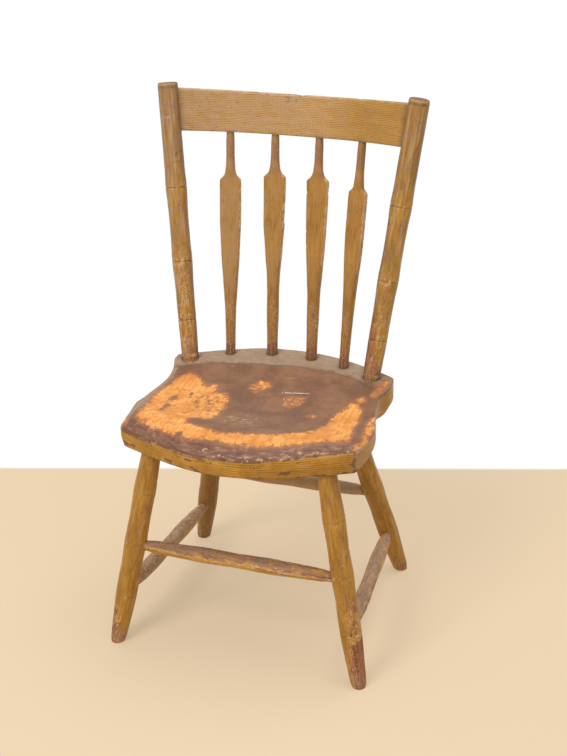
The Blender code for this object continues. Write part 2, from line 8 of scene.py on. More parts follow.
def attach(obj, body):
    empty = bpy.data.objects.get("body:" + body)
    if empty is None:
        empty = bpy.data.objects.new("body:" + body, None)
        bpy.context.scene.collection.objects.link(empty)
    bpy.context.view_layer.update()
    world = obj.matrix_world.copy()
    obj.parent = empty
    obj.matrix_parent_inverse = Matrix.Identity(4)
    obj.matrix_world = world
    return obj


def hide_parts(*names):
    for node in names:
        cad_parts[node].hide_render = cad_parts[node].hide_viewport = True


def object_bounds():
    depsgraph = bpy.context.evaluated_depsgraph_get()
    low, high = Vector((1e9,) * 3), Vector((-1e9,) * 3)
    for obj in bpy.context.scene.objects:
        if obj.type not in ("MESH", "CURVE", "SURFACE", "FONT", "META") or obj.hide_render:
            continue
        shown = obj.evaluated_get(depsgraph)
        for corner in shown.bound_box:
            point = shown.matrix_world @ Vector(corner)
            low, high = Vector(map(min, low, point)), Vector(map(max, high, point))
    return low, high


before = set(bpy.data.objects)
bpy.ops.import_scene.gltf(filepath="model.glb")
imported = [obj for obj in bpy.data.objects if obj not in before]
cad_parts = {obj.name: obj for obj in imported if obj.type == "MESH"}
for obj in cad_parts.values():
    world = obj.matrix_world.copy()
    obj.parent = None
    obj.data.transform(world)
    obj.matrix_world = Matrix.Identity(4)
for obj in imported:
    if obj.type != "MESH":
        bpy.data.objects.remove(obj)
CAD_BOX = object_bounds()

# The chair's own dimensions, in metres, as its frame was built.

# From the chair's own middle to the middle of its box.
SHIFT = np.array([0.000075, -0.026942, 0.0])

DECK = 0.409
UNDERSIDE = 0.3575
HALF_WIDTH = 0.2055
FRONT_REACH = 0.1815
BACK_REACH = 0.173
SKEW = 0.040
OUTLINE_RIGHT = (
    (0.000, -1.000), (0.230, -0.976), (0.460, -0.907), (0.690, -0.800), (0.830, -0.730),
    (0.905, -0.692), (0.937, -0.676), (0.951, -0.648), (0.975, -0.570), (0.997, -0.460),
    (1.000, -0.360), (0.982, -0.230), (0.941, -0.070), (0.903, 0.100), (0.887, 0.240),
    (0.898, 0.330), (0.926, 0.410), (0.938, 0.490), (0.931, 0.590), (0.895, 0.655),
    (0.687, 0.780), (0.458, 0.900), (0.230, 0.975), (0.000, 1.000),
)
OUTLINE_LEFT = (
    (0.000, -1.000), (0.230, -0.976), (0.460, -0.907), (0.690, -0.805), (0.850, -0.730),
    (0.905, -0.700), (0.932, -0.655), (0.938, -0.560), (0.937, -0.430), (0.931, -0.240),
    (0.915, -0.060), (0.891, 0.100), (0.875, 0.240), (0.876, 0.350), (0.892, 0.460),
    (0.914, 0.550), (0.915, 0.620), (0.895, 0.668), (0.687, 0.780), (0.458, 0.900),
    (0.230, 0.975), (0.000, 1.000),
)
EDGE_ROUND = 0.003
ROLL_DROP = 0.021
ROLL_DEPTH = 0.045
ROLL_SIDE_SHARE = 0.55
BEVEL_HEIGHT = 0.018
BEVEL_IN = 0.009
FRONT_BEVEL_IN = 0.003
SADDLE_MIDDLE_Y = -0.002
SADDLE_BOTTOM = DECK - 0.015
SADDLE_BOWL = 0.050
SADDLE_SPREAD = math.sqrt(1.0 - 0.7 ** 2)
SADDLE_HALF = (0.360 / SADDLE_SPREAD, 0.108 / SADDLE_SPREAD)
GUTTER_DEPTH = 0.0020
GUTTER_WIDTH = 0.0024

# Legs: place on the seat as shares, angles outward and along, in degrees.
FRONT_LEG = (0.704, -0.613, 10.5, -9.3)
REAR_LEG = (0.539, 0.551, 12.55, 11.7)
LEG_PROFILE = (
    (0.000, 0.0110), (0.012, 0.0123), (0.030, 0.0131), (0.140, 0.0155), (0.251, 0.0175),
    (0.320, 0.0176), (0.390, 0.0171), (0.450, 0.0175), (0.519, 0.0184), (0.570, 0.0178),
    (0.640, 0.0171), (0.700, 0.0174), (0.772, 0.0182), (0.860, 0.0170), (0.930, 0.0160),
    (1.000, 0.0147),
)
LEG_RINGS = (0.251, 0.519, 0.772)
LEG_IN_SEAT = 0.012
LEG_SIDES = 64

# Where each stretcher meets its two legs, as shares of the underside's height, and its rings.
STRETCHER_HEIGHTS = {"front": (0.503, 0.503), "rear": (0.484, 0.484), "side": (0.266, 0.236)}
STRETCHER_RINGS = {"front": (0.345, 0.675), "rear": (0.345, 0.675), "side": (0.270, 0.685)}

# The incised rings of every turned piece.
RING_WIDTH = 0.0008
LEG_RING_DEPTH = 0.0007
STRETCHER_RING_DEPTH = 0.0005
POST_RING_DEPTH = 0.0010

STRETCHER_SIDES = 48
STRETCHER_IN_LEG = 0.002

POST_PLACE = (0.770, 0.592)
POST_RISE = 0.4487
POST_OUT = 6.64
POST_BACK = 10.85
POST_RACK = 0.0039
POST_SKEW = 0.030
POST_PROFILE = (
    (0.000, 0.0139), (0.060, 0.0146), (0.1473, 0.0152), (0.220, 0.0152), (0.290, 0.0158),
    (0.3646, 0.0171), (0.430, 0.0162), (0.500, 0.0161), (0.570, 0.0166), (0.6322, 0.0177),
    (0.700, 0.0167), (0.800, 0.0166), (0.930, 0.0167), (0.985, 0.0166), (0.9965, 0.0162),
    (1.000, 0.0147),
)
POST_RINGS = (0.1473, 0.3646, 0.6322)
POST_SIDES = 64
# Rows added near the top, as depths below it.
POST_TOP_ROWS = (0.0055, 0.004, 0.003, 0.002, 0.0012, 0.0005)

CREST_RISE = 0.3735
CREST_HEIGHT = 0.0687
CREST_DIP = 0.0026
CREST_THICKNESS = 0.0140
CREST_BOW = 0.0435
CREST_POWER = 2.5
CREST_CORNER = 0.0026

# Name, place across the crest, place on the seat, foot radius, shoulder share, the paddle's
# half width at each of its stations and at the shoulder.
SPINDLES = (
    ("spindle_outer_left", -0.556, (-0.4954, 0.764), 0.0082, 0.791,
     (0.0112, 0.0130, 0.0150, 0.0161, 0.0175, 0.0176), 0.0175),
    ("spindle_inner_left", -0.184, (-0.1586, 0.860), 0.0091, 0.813,
     (0.0102, 0.0106, 0.0128, 0.0150, 0.0175, 0.0179), 0.0183),
    ("spindle_inner_right", 0.190, (0.1825, 0.860), 0.0092, 0.810,
     (0.0106, 0.0120, 0.0137, 0.0154, 0.0169, 0.0179), 0.0186),
    ("spindle_outer_right", 0.560, (0.4834, 0.764), 0.0081, 0.781,
     (0.0099, 0.0109, 0.0125, 0.0144, 0.0155, 0.0160), 0.0159),
)
# The paddle's stations: share of the length, thickness as a share and squareness.
PADDLE_STATIONS = ((0.28, 1.70, 2.3), (0.36, 1.58, 3.2), (0.44, 1.40, 4.8), (0.52, 1.20, 6.5),
                   (0.60, 1.08, 7.0), (0.70, 1.00, 7.0))
NECK_RADIUS = 0.0070
PADDLE_HALF_THICKNESS = 0.0052
SPINDLE_SIDES = 60

# The camera and the lamps.

CAMERA_PLACE = Vector((0.74429, -1.95813, 1.50726)) + Vector(SHIFT)
CAMERA_YAW, CAMERA_PITCH, CAMERA_ROLL = 19.786, 27.038, -1.978
CAMERA_LENS = 69.822
SENSOR = 36.0


def put(name, data):
    """A new object in the scene."""
    thing = bpy.data.objects.new(name, data)
    bpy.context.scene.collection.objects.link(thing)
    return thing


def make_camera():
    """The camera at the photograph's place, height and angle."""
    yaw, pitch, roll = (math.radians(a) for a in (CAMERA_YAW, CAMERA_PITCH, CAMERA_ROLL))
    ahead = Vector((-math.sin(yaw) * math.cos(pitch), math.cos(yaw) * math.cos(pitch),
                    -math.sin(pitch)))
    level = Vector((math.cos(yaw), math.sin(yaw), 0.0))
    rise = level.cross(ahead)
    right = level * math.cos(roll) + rise * math.sin(roll)
    up = rise * math.cos(roll) - level * math.sin(roll)
    data = bpy.data.cameras.new("camera")
    data.lens = CAMERA_LENS
    data.sensor_width = SENSOR
    camera = put("camera", data)
    turn = Matrix((right, up, -ahead)).transposed().to_4x4()
    camera.matrix_world = Matrix.Translation(CAMERA_PLACE) @ turn
    bpy.context.scene.camera = camera


def make_lamp(name, place, target, size, power):
    """A square soft lamp turned toward a point."""
    data = bpy.data.lights.new(name, "AREA")
    data.shape = "SQUARE"
    data.size = size
    data.energy = power
    lamp = put(name, data)
    lamp.location = place
    aim = Vector(target) - Vector(place)
    lamp.rotation_euler = aim.to_track_quat("-Z", "Y").to_euler()


# Numbers on a lattice, and smooth steps and lines.

TINY = 1e-12


def hashed(i, j, k, seed):
    """A repeatable number from -1 to 1 for each lattice corner."""
    h = (i * 73856093) ^ (j * 19349663) ^ (k * 83492791) ^ (seed * 40503)
    h = ((h ^ (h >> 13)) * 1274126177) & 0x7FFFFFFF
    h = ((h ^ (h >> 15)) * 73244475) & 0x7FFFFFFF
    return ((h ^ (h >> 11)) & 0xFFFF) / 32767.5 - 1.0


def lumps(points, size, seed, octaves=3):
    """Smooth lumps of about a size over a grid of points, from about -1 to 1."""
    shape = points.shape[:-1]
    points = points.reshape(-1, 3)
    total = np.zeros(len(points))
    weight, sum_of_weights = 1.0, 0.0
    for octave in range(octaves):
        q = points / size * 2.0 ** octave
        cell = np.floor(q).astype(np.int64)
        f = q - cell
        f = f * f * (3.0 - 2.0 * f)
        value = np.zeros(len(points))
        for corner in range(8):
            o = np.array([corner & 1, corner >> 1 & 1, corner >> 2 & 1])
            share = np.prod(np.where(o == 1, f, 1.0 - f), axis=1)
            c = cell + o
            value += share * hashed(c[:, 0], c[:, 1], c[:, 2], seed + 17 * octave)
        total += weight * value
        sum_of_weights += weight
        weight *= 0.5
    return (total / sum_of_weights * 1.5).reshape(shape)


def ramp(value, start, full):
    """Nought at start, one at full, and smooth between."""
    share = np.clip((value - start) / (full - start), 0.0, 1.0)
    return share * share * (3.0 - 2.0 * share)


def bell(value, width):
    """One at nought, falling away over a width."""
    return np.exp(-(value / width) ** 2)


def eased(knots, values, at):
    """Values read off a smooth line through knots, which never overshoots them."""
    k, v = np.asarray(knots, float), np.asarray(values, float)
    step = np.diff(v) / np.diff(k)
    both = step[:-1] * step[1:]
    slope = np.zeros(len(v))
    slope[1:-1] = np.where(both > 0, 2 * both / np.where(both > 0, step[:-1] + step[1:], 1.0), 0.0)
    slope[0], slope[-1] = step[0], step[-1]
    at = np.clip(at, k[0], k[-1])
    i = np.clip(np.searchsorted(k, at, side="right") - 1, 0, len(k) - 2)
    h = k[i + 1] - k[i]
    t = (at - k[i]) / h
    return ((2 * t ** 3 - 3 * t ** 2 + 1) * v[i] + (t ** 3 - 2 * t ** 2 + t) * h * slope[i]
            + (3 * t ** 2 - 2 * t ** 3) * v[i + 1] + (t ** 3 - t ** 2) * h * slope[i + 1])


# Meshes made of rings.

def outward(grid):
    """The outward normals of rings that run anticlockwise and rise."""
    around = np.roll(grid, -1, axis=1) - np.roll(grid, 1, axis=1)
    rising = np.gradient(grid, axis=0)
    normal = np.cross(around, rising)
    length = np.linalg.norm(normal, axis=2, keepdims=True)
    return normal / np.maximum(length, TINY)


CAP_ROWS = 5


def capped(grid, rows=CAP_ROWS):
    """Rings with flat ends added, each a few rings that shrink toward a middle."""
    low, high = grid[0], grid[-1]
    shares = [(rows - k) / rows for k in range(1, rows)] + [0.04]
    low_mid, high_mid = low.mean(axis=0), high.mean(axis=0)
    below = [low_mid + (low - low_mid) * s for s in reversed(shares)]
    above = [high_mid + (high - high_mid) * s for s in shares]
    return np.concatenate([below, grid, above])


def frame_of(start, end, face=(1.0, 0.0, 0.0)):
    """The axes of a piece that runs from start to end, its local X near a face direction."""
    z = (end - start) / np.linalg.norm(end - start)
    x = np.asarray(face, float)
    if abs(x @ z) > 0.95 * np.linalg.norm(x):
        x = np.array([0.0, 1.0, 0.0])
    y = np.cross(z, x)
    y /= np.linalg.norm(y)
    return np.array([np.cross(y, z), y, z])


SHARP_ANGLE = 50.0


def with_middles(grid):
    """The points of rings, then the middle of the first ring and that of the last."""
    return np.concatenate([grid.reshape(-1, 3), [grid[0].mean(axis=0)], [grid[-1].mean(axis=0)]])


def build(name, grid, own, marks, material):
    """Make a closed mesh of rings, with its own coordinates and its material's marks of wear and of
    painted light and shade.

    The rings are in the chair's frame. The piece rides on the root and stands for its node."""
    rings, sides = grid.shape[:2]
    points = np.clip(with_middles(grid) + SHIFT, np.array(CAD_BOX[0]), np.array(CAD_BOX[1]))
    index = np.arange(rings * sides).reshape(rings, sides)
    after = np.roll(index, -1, axis=1)
    quads = np.stack([index[:-1], after[:-1], after[1:], index[1:]], axis=-1).reshape(-1, 4)
    low, high = rings * sides, rings * sides + 1
    fans = [(int(after[0, j]), int(index[0, j]), low) for j in range(sides)]
    fans += [(int(index[-1, j]), int(after[-1, j]), high) for j in range(sides)]
    mesh = bpy.data.meshes.new(name + "_worn")
    mesh.from_pydata(points.tolist(), [], quads.tolist() + fans)
    mesh.shade_smooth()
    mesh.set_sharp_from_angle(angle=math.radians(SHARP_ANGLE))
    layer = mesh.attributes.new("own", "FLOAT_VECTOR", "POINT")
    layer.data.foreach_set("vector", with_middles(own).astype(np.float32).ravel())
    for mark, values in marks.items():
        values = np.broadcast_to(values, grid.shape[:2])
        line = np.concatenate([values.ravel(), [values[0].mean(), values[-1].mean()]])
        layer = mesh.attributes.new(mark, "FLOAT", "POINT")
        layer.data.foreach_set("value", line.astype(np.float32))
    mesh.materials.append(material)
    piece = put(name + "_worn", mesh)
    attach(piece, "root")
    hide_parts(name)
    return piece


# Materials.

class Nodes:
    """Adds nodes to one tree. Where a value is taken, a name stands for a mark of the mesh."""

    def __init__(self, tree):
        self.tree = tree

    def feed(self, socket, value):
        """Give a socket a number, a colour, a mark or another socket's output."""
        if isinstance(value, str):
            value = self.read(value)
        if isinstance(value, bpy.types.NodeSocket):
            self.tree.links.new(value, socket)
        elif isinstance(value, tuple) and len(value) == 3 and socket.type == "RGBA":
            socket.default_value = (*value, 1.0)
        else:
            socket.default_value = value

    def add(self, kind, given, **settings):
        """A new node's outputs, from what its sockets are given and its settings."""
        node = self.tree.nodes.new("ShaderNode" + kind)
        for setting, value in settings.items():
            setattr(node, setting, value)
        for socket, value in given.items():
            self.feed(node.inputs[socket], value)
        return node.outputs

    def read(self, name, output="Fac"):
        """A mark that the mesh carries."""
        return self.add("Attribute", {}, attribute_name=name)[output]

    def sum(self, operation, first, second):
        """A Math node."""
        return self.add("Math", {0: first, 1: second}, operation=operation)[0]

    def plus(self, first, second):
        """The sum of two values."""
        return self.sum("ADD", first, second)

    def times(self, first, second):
        """The product of two values."""
        return self.sum("MULTIPLY", first, second)

    def less(self, first, second):
        """The first value without the second."""
        return self.sum("SUBTRACT", first, second)

    def total(self, *parts):
        """The sum of values, each times its share."""
        whole = self.times(*parts[0])
        for part in parts[1:]:
            whole = self.plus(whole, self.times(*part))
        return whole

    def step(self, value, start, full, low=0.0, high=1.0):
        """A smooth step from low to high."""
        given = dict(enumerate((value, start, full, low, high)))
        return self.add("MapRange", given, interpolation_type="SMOOTHSTEP")[0]

    def mix(self, share, first, second, most=1.0):
        """A share of the second colour over the first."""
        share = share if most == 1.0 else self.times(share, most)
        return self.add("Mix", {"Factor": share, 6: first, 7: second}, data_type="RGBA")[2]

    def layered(self, colour, *layers):
        """A colour under layers: each has a value, the bounds of its step, a colour and a share."""
        for value, start, full, tint, share in layers:
            colour = self.mix(self.step(value, start, full), colour, tint, share)
        return colour

    def over(self, share, first, second):
        """A share of the second shader over the first."""
        return self.add("MixShader", {0: share, 1: first, 2: second})[0]

    def seen(self):
        """One for a ray of the camera or one that gloss or glass sends on, nought for light."""
        rays = self.add("LightPath", {})
        seen = rays["Is Camera Ray"]
        for kind in ("Is Glossy Ray", "Is Transmission Ray"):
            seen = self.sum("MAXIMUM", seen, rays[kind])
        return seen


class Finish(Nodes):
    """Builds the paint of one material."""

    def __init__(self, name):
        self.material = bpy.data.materials.new(name)
        self.material.use_nodes = True
        super().__init__(self.material.node_tree)
        self.shader = self.tree.nodes["Principled BSDF"]
        self.shader.inputs["Specular IOR Level"].default_value = SPECULAR
        self.own = self.read("own", "Vector")

    def swung(self, value, *pushes):
        """A value pushed up and down by noises, each with how much."""
        for noise, much in zip(pushes[::2], pushes[1::2]):
            value = self.plus(value, self.times(self.less(noise, 0.5), much))
        return value

    def noise(self, shares, size, detail=4.0, rough=0.55, warp=0.0):
        """Noise over the piece's own coordinates, drawn out by shares, of a size in metres."""
        drawn_out = self.add("VectorMath", {0: self.own, 1: shares}, operation="MULTIPLY")[0]
        return self.add("TexNoise", {"Vector": drawn_out, "Scale": 1.0 / size, "Detail": detail,
                                     "Roughness": rough, "Distortion": warp})["Fac"]

    def waves(self, axis, spacing, sway, much):
        """Wavy lines a spacing apart along one of the piece's own axes, between -1 and 1."""
        along = self.add("SeparateXYZ", {0: self.own})[axis]
        turns = self.times(along, 2.0 * math.pi / spacing)
        return self.sum("SINE", self.plus(turns, self.times(sway, much)), 0.0)

    def bordering(self, value, at, width):
        """A band where a value passes a bound."""
        below = self.step(value, at - width, at)
        return self.times(below, self.step(value, at, at + width, 1.0, 0.0))

    def flakes(self, fleck, bound, much, soft):
        """Small flecks of a noise, thicker where the mark speck is."""
        edge = self.less(bound, self.times("speck_and_highlight", much))
        return self.step(self.less(fleck, edge), 0.0, soft)

    def finish(self, colour, roughness, height):
        """Colour, roughness and relief in millimetres to the shader."""
        bump = self.add("Bump", {"Strength": 1.0, "Distance": 0.001, "Height": height})
        for socket, value in (("Base Color", colour), ("Roughness", roughness),
                              ("Normal", bump["Normal"])):
            self.feed(self.shader.inputs[socket], value)
        return self.material


SPECULAR = 0.28
UNDERCOAT = (0.335, 0.140, 0.066)
UNDERCOAT_DARK = (0.135, 0.050, 0.026)
RED_WOOD = (0.420, 0.165, 0.070)
RED_DARK = (0.230, 0.085, 0.040)
PALE_CHIP = (0.75, 0.49, 0.25)
# The colour of rubbed edges, which on the posts' top rims is also a painted highlight
RUBBED_EDGE_AND_HIGHLIGHT = (0.580, 0.300, 0.135)
DUST = (0.47, 0.36, 0.255)
# Dirt, and painted shade where the grime mark holds it
GRIME_AND_SHADE = (0.070, 0.036, 0.018)
# Pale grey streaks of painted sheen on glossy paint
PAINTED_SHEEN = (0.50, 0.42, 0.32)


def old_paint(name, deep, light, streak, brown, comb=0.0, painted_sheen=0.0, gloss=0.38, mottled=1.0):
    """Worn grained paint on a turned or sawn piece whose grain runs along its own Z.

    The marks worn, red, rub, speck, dust, grime and tone say where each kind of wear is; grime also
    holds painted shade, and rub and speck also hold painted highlights."""
    f = Finish(name)
    slow = f.noise((1, 1, 0.22), 0.018, 4.0, 0.6, 0.5)
    broad = f.noise((1, 1, 0.07), 0.0046, 4.0, 0.6, 0.3)
    strokes = f.noise((1, 1, 0.045), 0.0014, 4.0, 0.6)
    drift = f.noise((1, 1, 0.40), 0.009, 5.0, 0.62, 0.7)
    fine = f.noise((1, 1, 0.60), 0.0022, 3.0, 0.6, 0.4)
    colour = f.layered(
        deep, (slow, 0.38, 0.62, light, 1.0), (broad, 0.52, 0.70, streak, 0.36 * mottled),
        (strokes, 0.50, 0.70, streak, 0.42 * mottled), (strokes, 0.46, 0.30, light, 0.45 * mottled),
        (f.swung(fine, drift, 0.8), 0.52, 0.68, streak, 0.45 * mottled),
        (f.swung("tone", drift, 2.0 * mottled), 0.15, 0.95, brown, 1.0))
    if comb:
        sway = f.noise((0.5, 0.3, 0.30), 0.015, 2.0, 0.5, 0.2)
        wave = f.waves(0, 0.0027, sway, 15.0)
        broken = f.step(f.noise((1, 1, 0.35), 0.007, 3.0), 0.36, 0.60, 0.15, 1.0)
        colour = f.mix(f.times(f.step(wave, -0.2, 0.9), broken), colour, streak, comb)
        colour = f.mix(f.times(f.step(wave, -0.3, -1.0), broken), colour, light, 0.5 * comb)
        cross = f.times(f.step(f.waves(2, 0.0026, sway, 9.0), 0.0, 0.9), f.less(1.0, broken))
        colour = f.mix(cross, colour, streak, 0.9 * comb)
    # Painted sheen: pale grey streaks along the grain that stand in for the gloss's highlights
    if painted_sheen:
        sheen_noise = f.noise((1, 1, 0.035), 0.0034, 3.0, 0.55, 0.2)
        colour = f.layered(colour, (f.swung(sheen_noise, slow, 0.5), 0.56, 0.68, PAINTED_SHEEN, painted_sheen))
    red = f.swung("red", drift, 3.0, fine, 1.2)
    lip = f.bordering(red, 0.36, 0.16)
    red_wood = f.layered(RED_WOOD, (strokes, 0.40, 0.62, RED_DARK, 1.0))
    colour = f.layered(colour, (red, 0.30, 0.75, red_wood, 0.80))
    worn = f.swung("worn", drift, 2.6, fine, 1.2)
    lip = f.plus(lip, f.bordering(worn, 0.42, 0.13))
    worn = f.step(worn, 0.44, 0.62)
    under = f.layered(UNDERCOAT_DARK, (f.swung(fine, broad, 1.0), 0.40, 0.60, UNDERCOAT, 1.0))
    colour = f.mix(worn, colour, under, 0.85)
    # Lighter toward a rubbed orange where the rub mark is: rubbed wear, and on the posts' top rims
    # also a painted highlight
    rub = f.swung("rub", fine, 1.6, drift, 1.4)
    colour = f.layered(colour, (rub, 0.30, 0.70, RUBBED_EDGE_AND_HIGHLIGHT, 0.75))
    # Darker toward a dark brown where the grime mark is: dirt in rings and joints, and also painted
    # shade on sides turned from the camera, on the rear left leg and under the posts' top rims
    grime_and_shade = f.times("grime_and_shade", f.step(fine, 0.30, 0.55, 0.55, 1.0))
    colour = f.mix(grime_and_shade, colour, GRIME_AND_SHADE, 0.75)
    dust = f.times("dust", f.step(drift, 0.34, 0.60))
    colour = f.mix(dust, colour, DUST, 0.72)
    lip = f.times(lip, f.step(f.swung("speck_and_highlight", fine, 1.8), 0.44, 0.86))
    colour = f.mix(lip, colour, PALE_CHIP, 0.70)
    fleck = f.swung(f.noise((1, 1, 0.40), 0.0022, 4.0, 0.6, 0.8), drift, 1.0)
    flake = f.flakes(fleck, 0.92, 0.33, 0.035)
    colour = f.mix(flake, colour, PALE_CHIP, 0.75)
    rough = f.total((worn, 1.0), (dust, 1.0), (slow, 0.5))
    rough = f.step(rough, 0.0, 1.6, gloss - 0.03, 0.72)
    height = f.total((strokes, 0.10), (slow, 0.25), (broad, 0.18), (worn, -0.10), (flake, -0.14))
    return f.finish(colour, rough, height)


def seat_paint():
    """The plank: brown paint worn through to pine above, grained mustard on its edges."""
    f = Finish("seat_paint")
    cloud = f.noise((1, 1, 1), 0.045, 4.0, 0.55, 0.3)
    mottle = f.noise((1, 1, 1), 0.011, 5.0, 0.62, 0.5)
    grit = f.noise((1, 1, 1), 0.0026, 4.0, 0.65)
    scrub = f.noise((0.35, 1, 1), 0.0045, 5.0, 0.65, 0.4)

    brown = f.layered(
        (0.188, 0.088, 0.046), (cloud, 0.36, 0.64, (0.276, 0.134, 0.067), 1.0),
        (mottle, 0.50, 0.66, (0.125, 0.058, 0.040), 0.66),
        (f.swung(grit, mottle, 0.5), 0.58, 0.74, (0.40, 0.230, 0.125), 0.55),
        (f.swung("scuff", scrub, 3.2), 0.45, 0.90, (0.42, 0.265, 0.150), 0.62))
    slope = f.step(f.swung("slope", mottle, 0.8), 0.20, 0.80)
    drag = f.swung(f.noise((0.16, 0.16, 1), 0.0030, 4.0, 0.6), mottle, 0.5)
    brown = f.mix(slope, brown, (0.165, 0.070, 0.046), 0.60)
    brown = f.mix(f.times(slope, f.step(drag, 0.52, 0.66)), brown, (0.380, 0.220, 0.135), 0.60)
    brown = f.mix(f.times(slope, f.step(drag, 0.48, 0.36)), brown, (0.090, 0.040, 0.032), 0.60)
    deck = f.swung("deck", mottle, 1.8)
    deck_colour = f.layered((0.355, 0.245, 0.152), (scrub, 0.38, 0.64, (0.455, 0.325, 0.205), 1.0),
                            (grit, 0.52, 0.68, (0.250, 0.165, 0.105), 0.40))
    brown = f.layered(brown, (deck, 0.05, 0.95, deck_colour, 0.84))

    lines = f.noise((1, 0.030, 1), 0.0030, 3.0, 0.5)
    pores = f.noise((1, 0.10, 1), 0.0012, 3.0, 0.6)
    pine = f.layered(
        (0.72, 0.290, 0.064), (cloud, 0.38, 0.62, (0.87, 0.400, 0.110), 1.0),
        (lines, 0.47, 0.62, (0.58, 0.195, 0.044), 0.50),
        (pores, 0.58, 0.72, (0.42, 0.150, 0.044), 0.55),
        (mottle, 0.54, 0.70, (0.95, 0.56, 0.24), 0.45),
        (mottle, 0.47, 0.34, (0.60, 0.200, 0.050), 0.60))

    bare = f.swung("bare", mottle, 3.2, grit, 2.5)
    open_wood = f.step(bare, -0.10, 0.40)
    top = f.layered(brown, (bare, -1.20, 0.00, (0.440, 0.165, 0.062), 0.66))
    top = f.mix(open_wood, top, pine)

    sway = f.noise((0.22, 0.22, 1), 0.026, 2.0, 0.5)
    broken = f.step(f.noise((0.25, 0.25, 1), 0.009, 3.0), 0.34, 0.56, 0.2, 1.0)
    rings = f.times(f.step(f.waves(2, 0.0037, sway, 9.0), 0.55, 1.0), broken)
    brush = f.noise((0.10, 0.10, 1), 0.0016, 4.0, 0.6)
    mustard = f.layered((0.420, 0.200, 0.025), (cloud, 0.38, 0.62, (0.560, 0.285, 0.045), 1.0))
    mustard = f.mix(rings, mustard, (0.130, 0.052, 0.010), 0.85)
    mustard = f.layered(mustard, (brush, 0.50, 0.70, (0.200, 0.085, 0.016), 0.40))
    dusty = f.times("dust", f.step(mottle, 0.30, 0.60))
    mustard = f.mix(dusty, mustard, (0.385, 0.255, 0.150), 0.80)
    worn = f.swung("worn", mottle, 3.0, grit, 1.2)
    mustard = f.layered(mustard, (worn, 0.45, 0.62, (0.150, 0.068, 0.050), 0.85))

    zone = f.step(f.swung("side", mottle, 2.2, grit, 1.4), -0.14, 0.14)
    colour = f.mix(zone, top, mustard)

    grime_and_shade = f.times("grime_and_shade", f.step(mottle, 0.20, 0.60, 0.55, 1.0))
    colour = f.mix(grime_and_shade, colour, (0.070, 0.040, 0.026), 0.66)
    strip = f.times("strip", f.step(mottle, 0.36, 0.54))
    colour = f.mix(strip, colour, (0.50, 0.38, 0.27), 0.80)
    fleck = f.swung(f.noise((0.7, 0.7, 1), 0.0028, 3.0, 0.55, 1.0), mottle, 0.25)
    flake = f.flakes(fleck, 0.95, 0.39, 0.04)
    colour = f.mix(flake, colour, (0.66, 0.40, 0.18), 0.80)
    crust = f.noise((0.30, 0.30, 1), 0.0026, 4.0, 0.65, 0.3)
    chip = f.step(f.swung("chip", crust, 5.0, mottle, 3.0), 0.50, 1.20)
    chip = f.times(chip, f.step("chip", 0.04, 0.16))
    pale = f.layered((0.34, 0.185, 0.085), (grit, 0.42, 0.60, (0.70, 0.46, 0.24), 1.0))
    colour = f.mix(chip, colour, pale, 0.78)
    scratch = f.step(f.times("scratch", f.step(grit, 0.38, 0.54)), 0.25, 0.55)
    colour = f.mix(scratch, colour, (0.86, 0.78, 0.66), 0.9)
    raw = f.layered((0.215, 0.130, 0.075), (brush, 0.40, 0.66, (0.330, 0.215, 0.130), 1.0))
    colour = f.layered(colour, ("below", 0.3, 0.7, raw, 1.0))

    rough = f.total((open_wood, 1.0), (deck, 0.5), (mottle, 0.6))
    rough = f.step(rough, 0.2, 1.5, 0.46, 0.76)
    inlet = f.times(open_wood, f.less(1.0, zone))
    height = f.total((mottle, 0.30), (grit, 0.12), (f.times(inlet, lines), 0.16), (inlet, -0.22),
                     (f.times(zone, rings), -0.10), (f.plus(flake, chip), -0.18))
    return f.finish(colour, rough, height)


# The seat. The wear is traced in whole millimetres, seen from above in the chair's frame.

SEAT_SIDES = 640
TOP_RINGS = 96
# A mark's value far from its place, where the front edge's wear ends and a leg's hole's radius.
FAR = 9.0
FRONT_PART = -0.06
LEG_HOLE = 0.0145

# Each bare place has how far it has opened and its outline. The first is the worn ring of the
# sitter's place.
BARE_PLACES = (
    (0.10, (
        (-150, 57), (-160, 44), (-164, 24), (-168, 7), (-173, -10), (-175, -27), (-172, -52),
        (-171, -72), (-166, -100), (-166, -115), (-160, -122), (-145, -131), (-128, -138),
        (-107, -147), (-91, -152), (-72, -156), (-54, -155), (-34, -154), (-16, -154), (5, -157),
        (25, -156), (50, -153), (76, -146), (98, -135), (117, -126), (139, -115), (159, -108),
        (177, -102), (176, -83), (170, -51), (170, -27), (167, -3), (162, 18), (153, 31),
        (144, 31), (138, 18), (134, 2), (130, -15), (128, -35), (126, -55), (117, -75),
        (103, -95), (79, -111), (56, -121), (32, -125), (7, -130), (-14, -134), (-34, -133),
        (-54, -125), (-68, -124), (-84, -117), (-84, -95), (-71, -90), (-56, -86), (-49, -67),
        (-49, -37), (-52, -7), (-65, 15), (-87, 14), (-83, 26), (-91, 36), (-102, 31),
        (-112, 32), (-120, 41), (-131, 52), (-141, 57))),
    (-0.10, ((-35, 41), (-34, 53), (-24, 63), (-6, 63), (0, 53), (-11, 41), (-23, 32))),
    (-0.35, ((29, 25), (41, 31), (64, 34), (69, 24), (62, 10), (49, -4), (38, 0))),
    (-0.25, ((84, -25), (88, -17), (100, -17), (100, -27))),
    (-0.20, ((148, 42), (153, 51), (163, 51), (163, 40), (155, 37))),
    (-0.15, ((170, 57), (168, 72), (175, 88), (182, 100), (188, 99), (183, 82), (176, 55))),
    (0.05, ((186, -13), (192, -6), (201, -44), (203, -79), (200, -97), (195, -112), (189, -113),
            (189, -104), (195, -89), (190, -50))),
    (0.10, ((-194, -122), (-192, -118), (-184, -118), (-182, -128), (-189, -130))),
)
DEEPEST_FAINT = 0.25
DEEPEST = 0.75
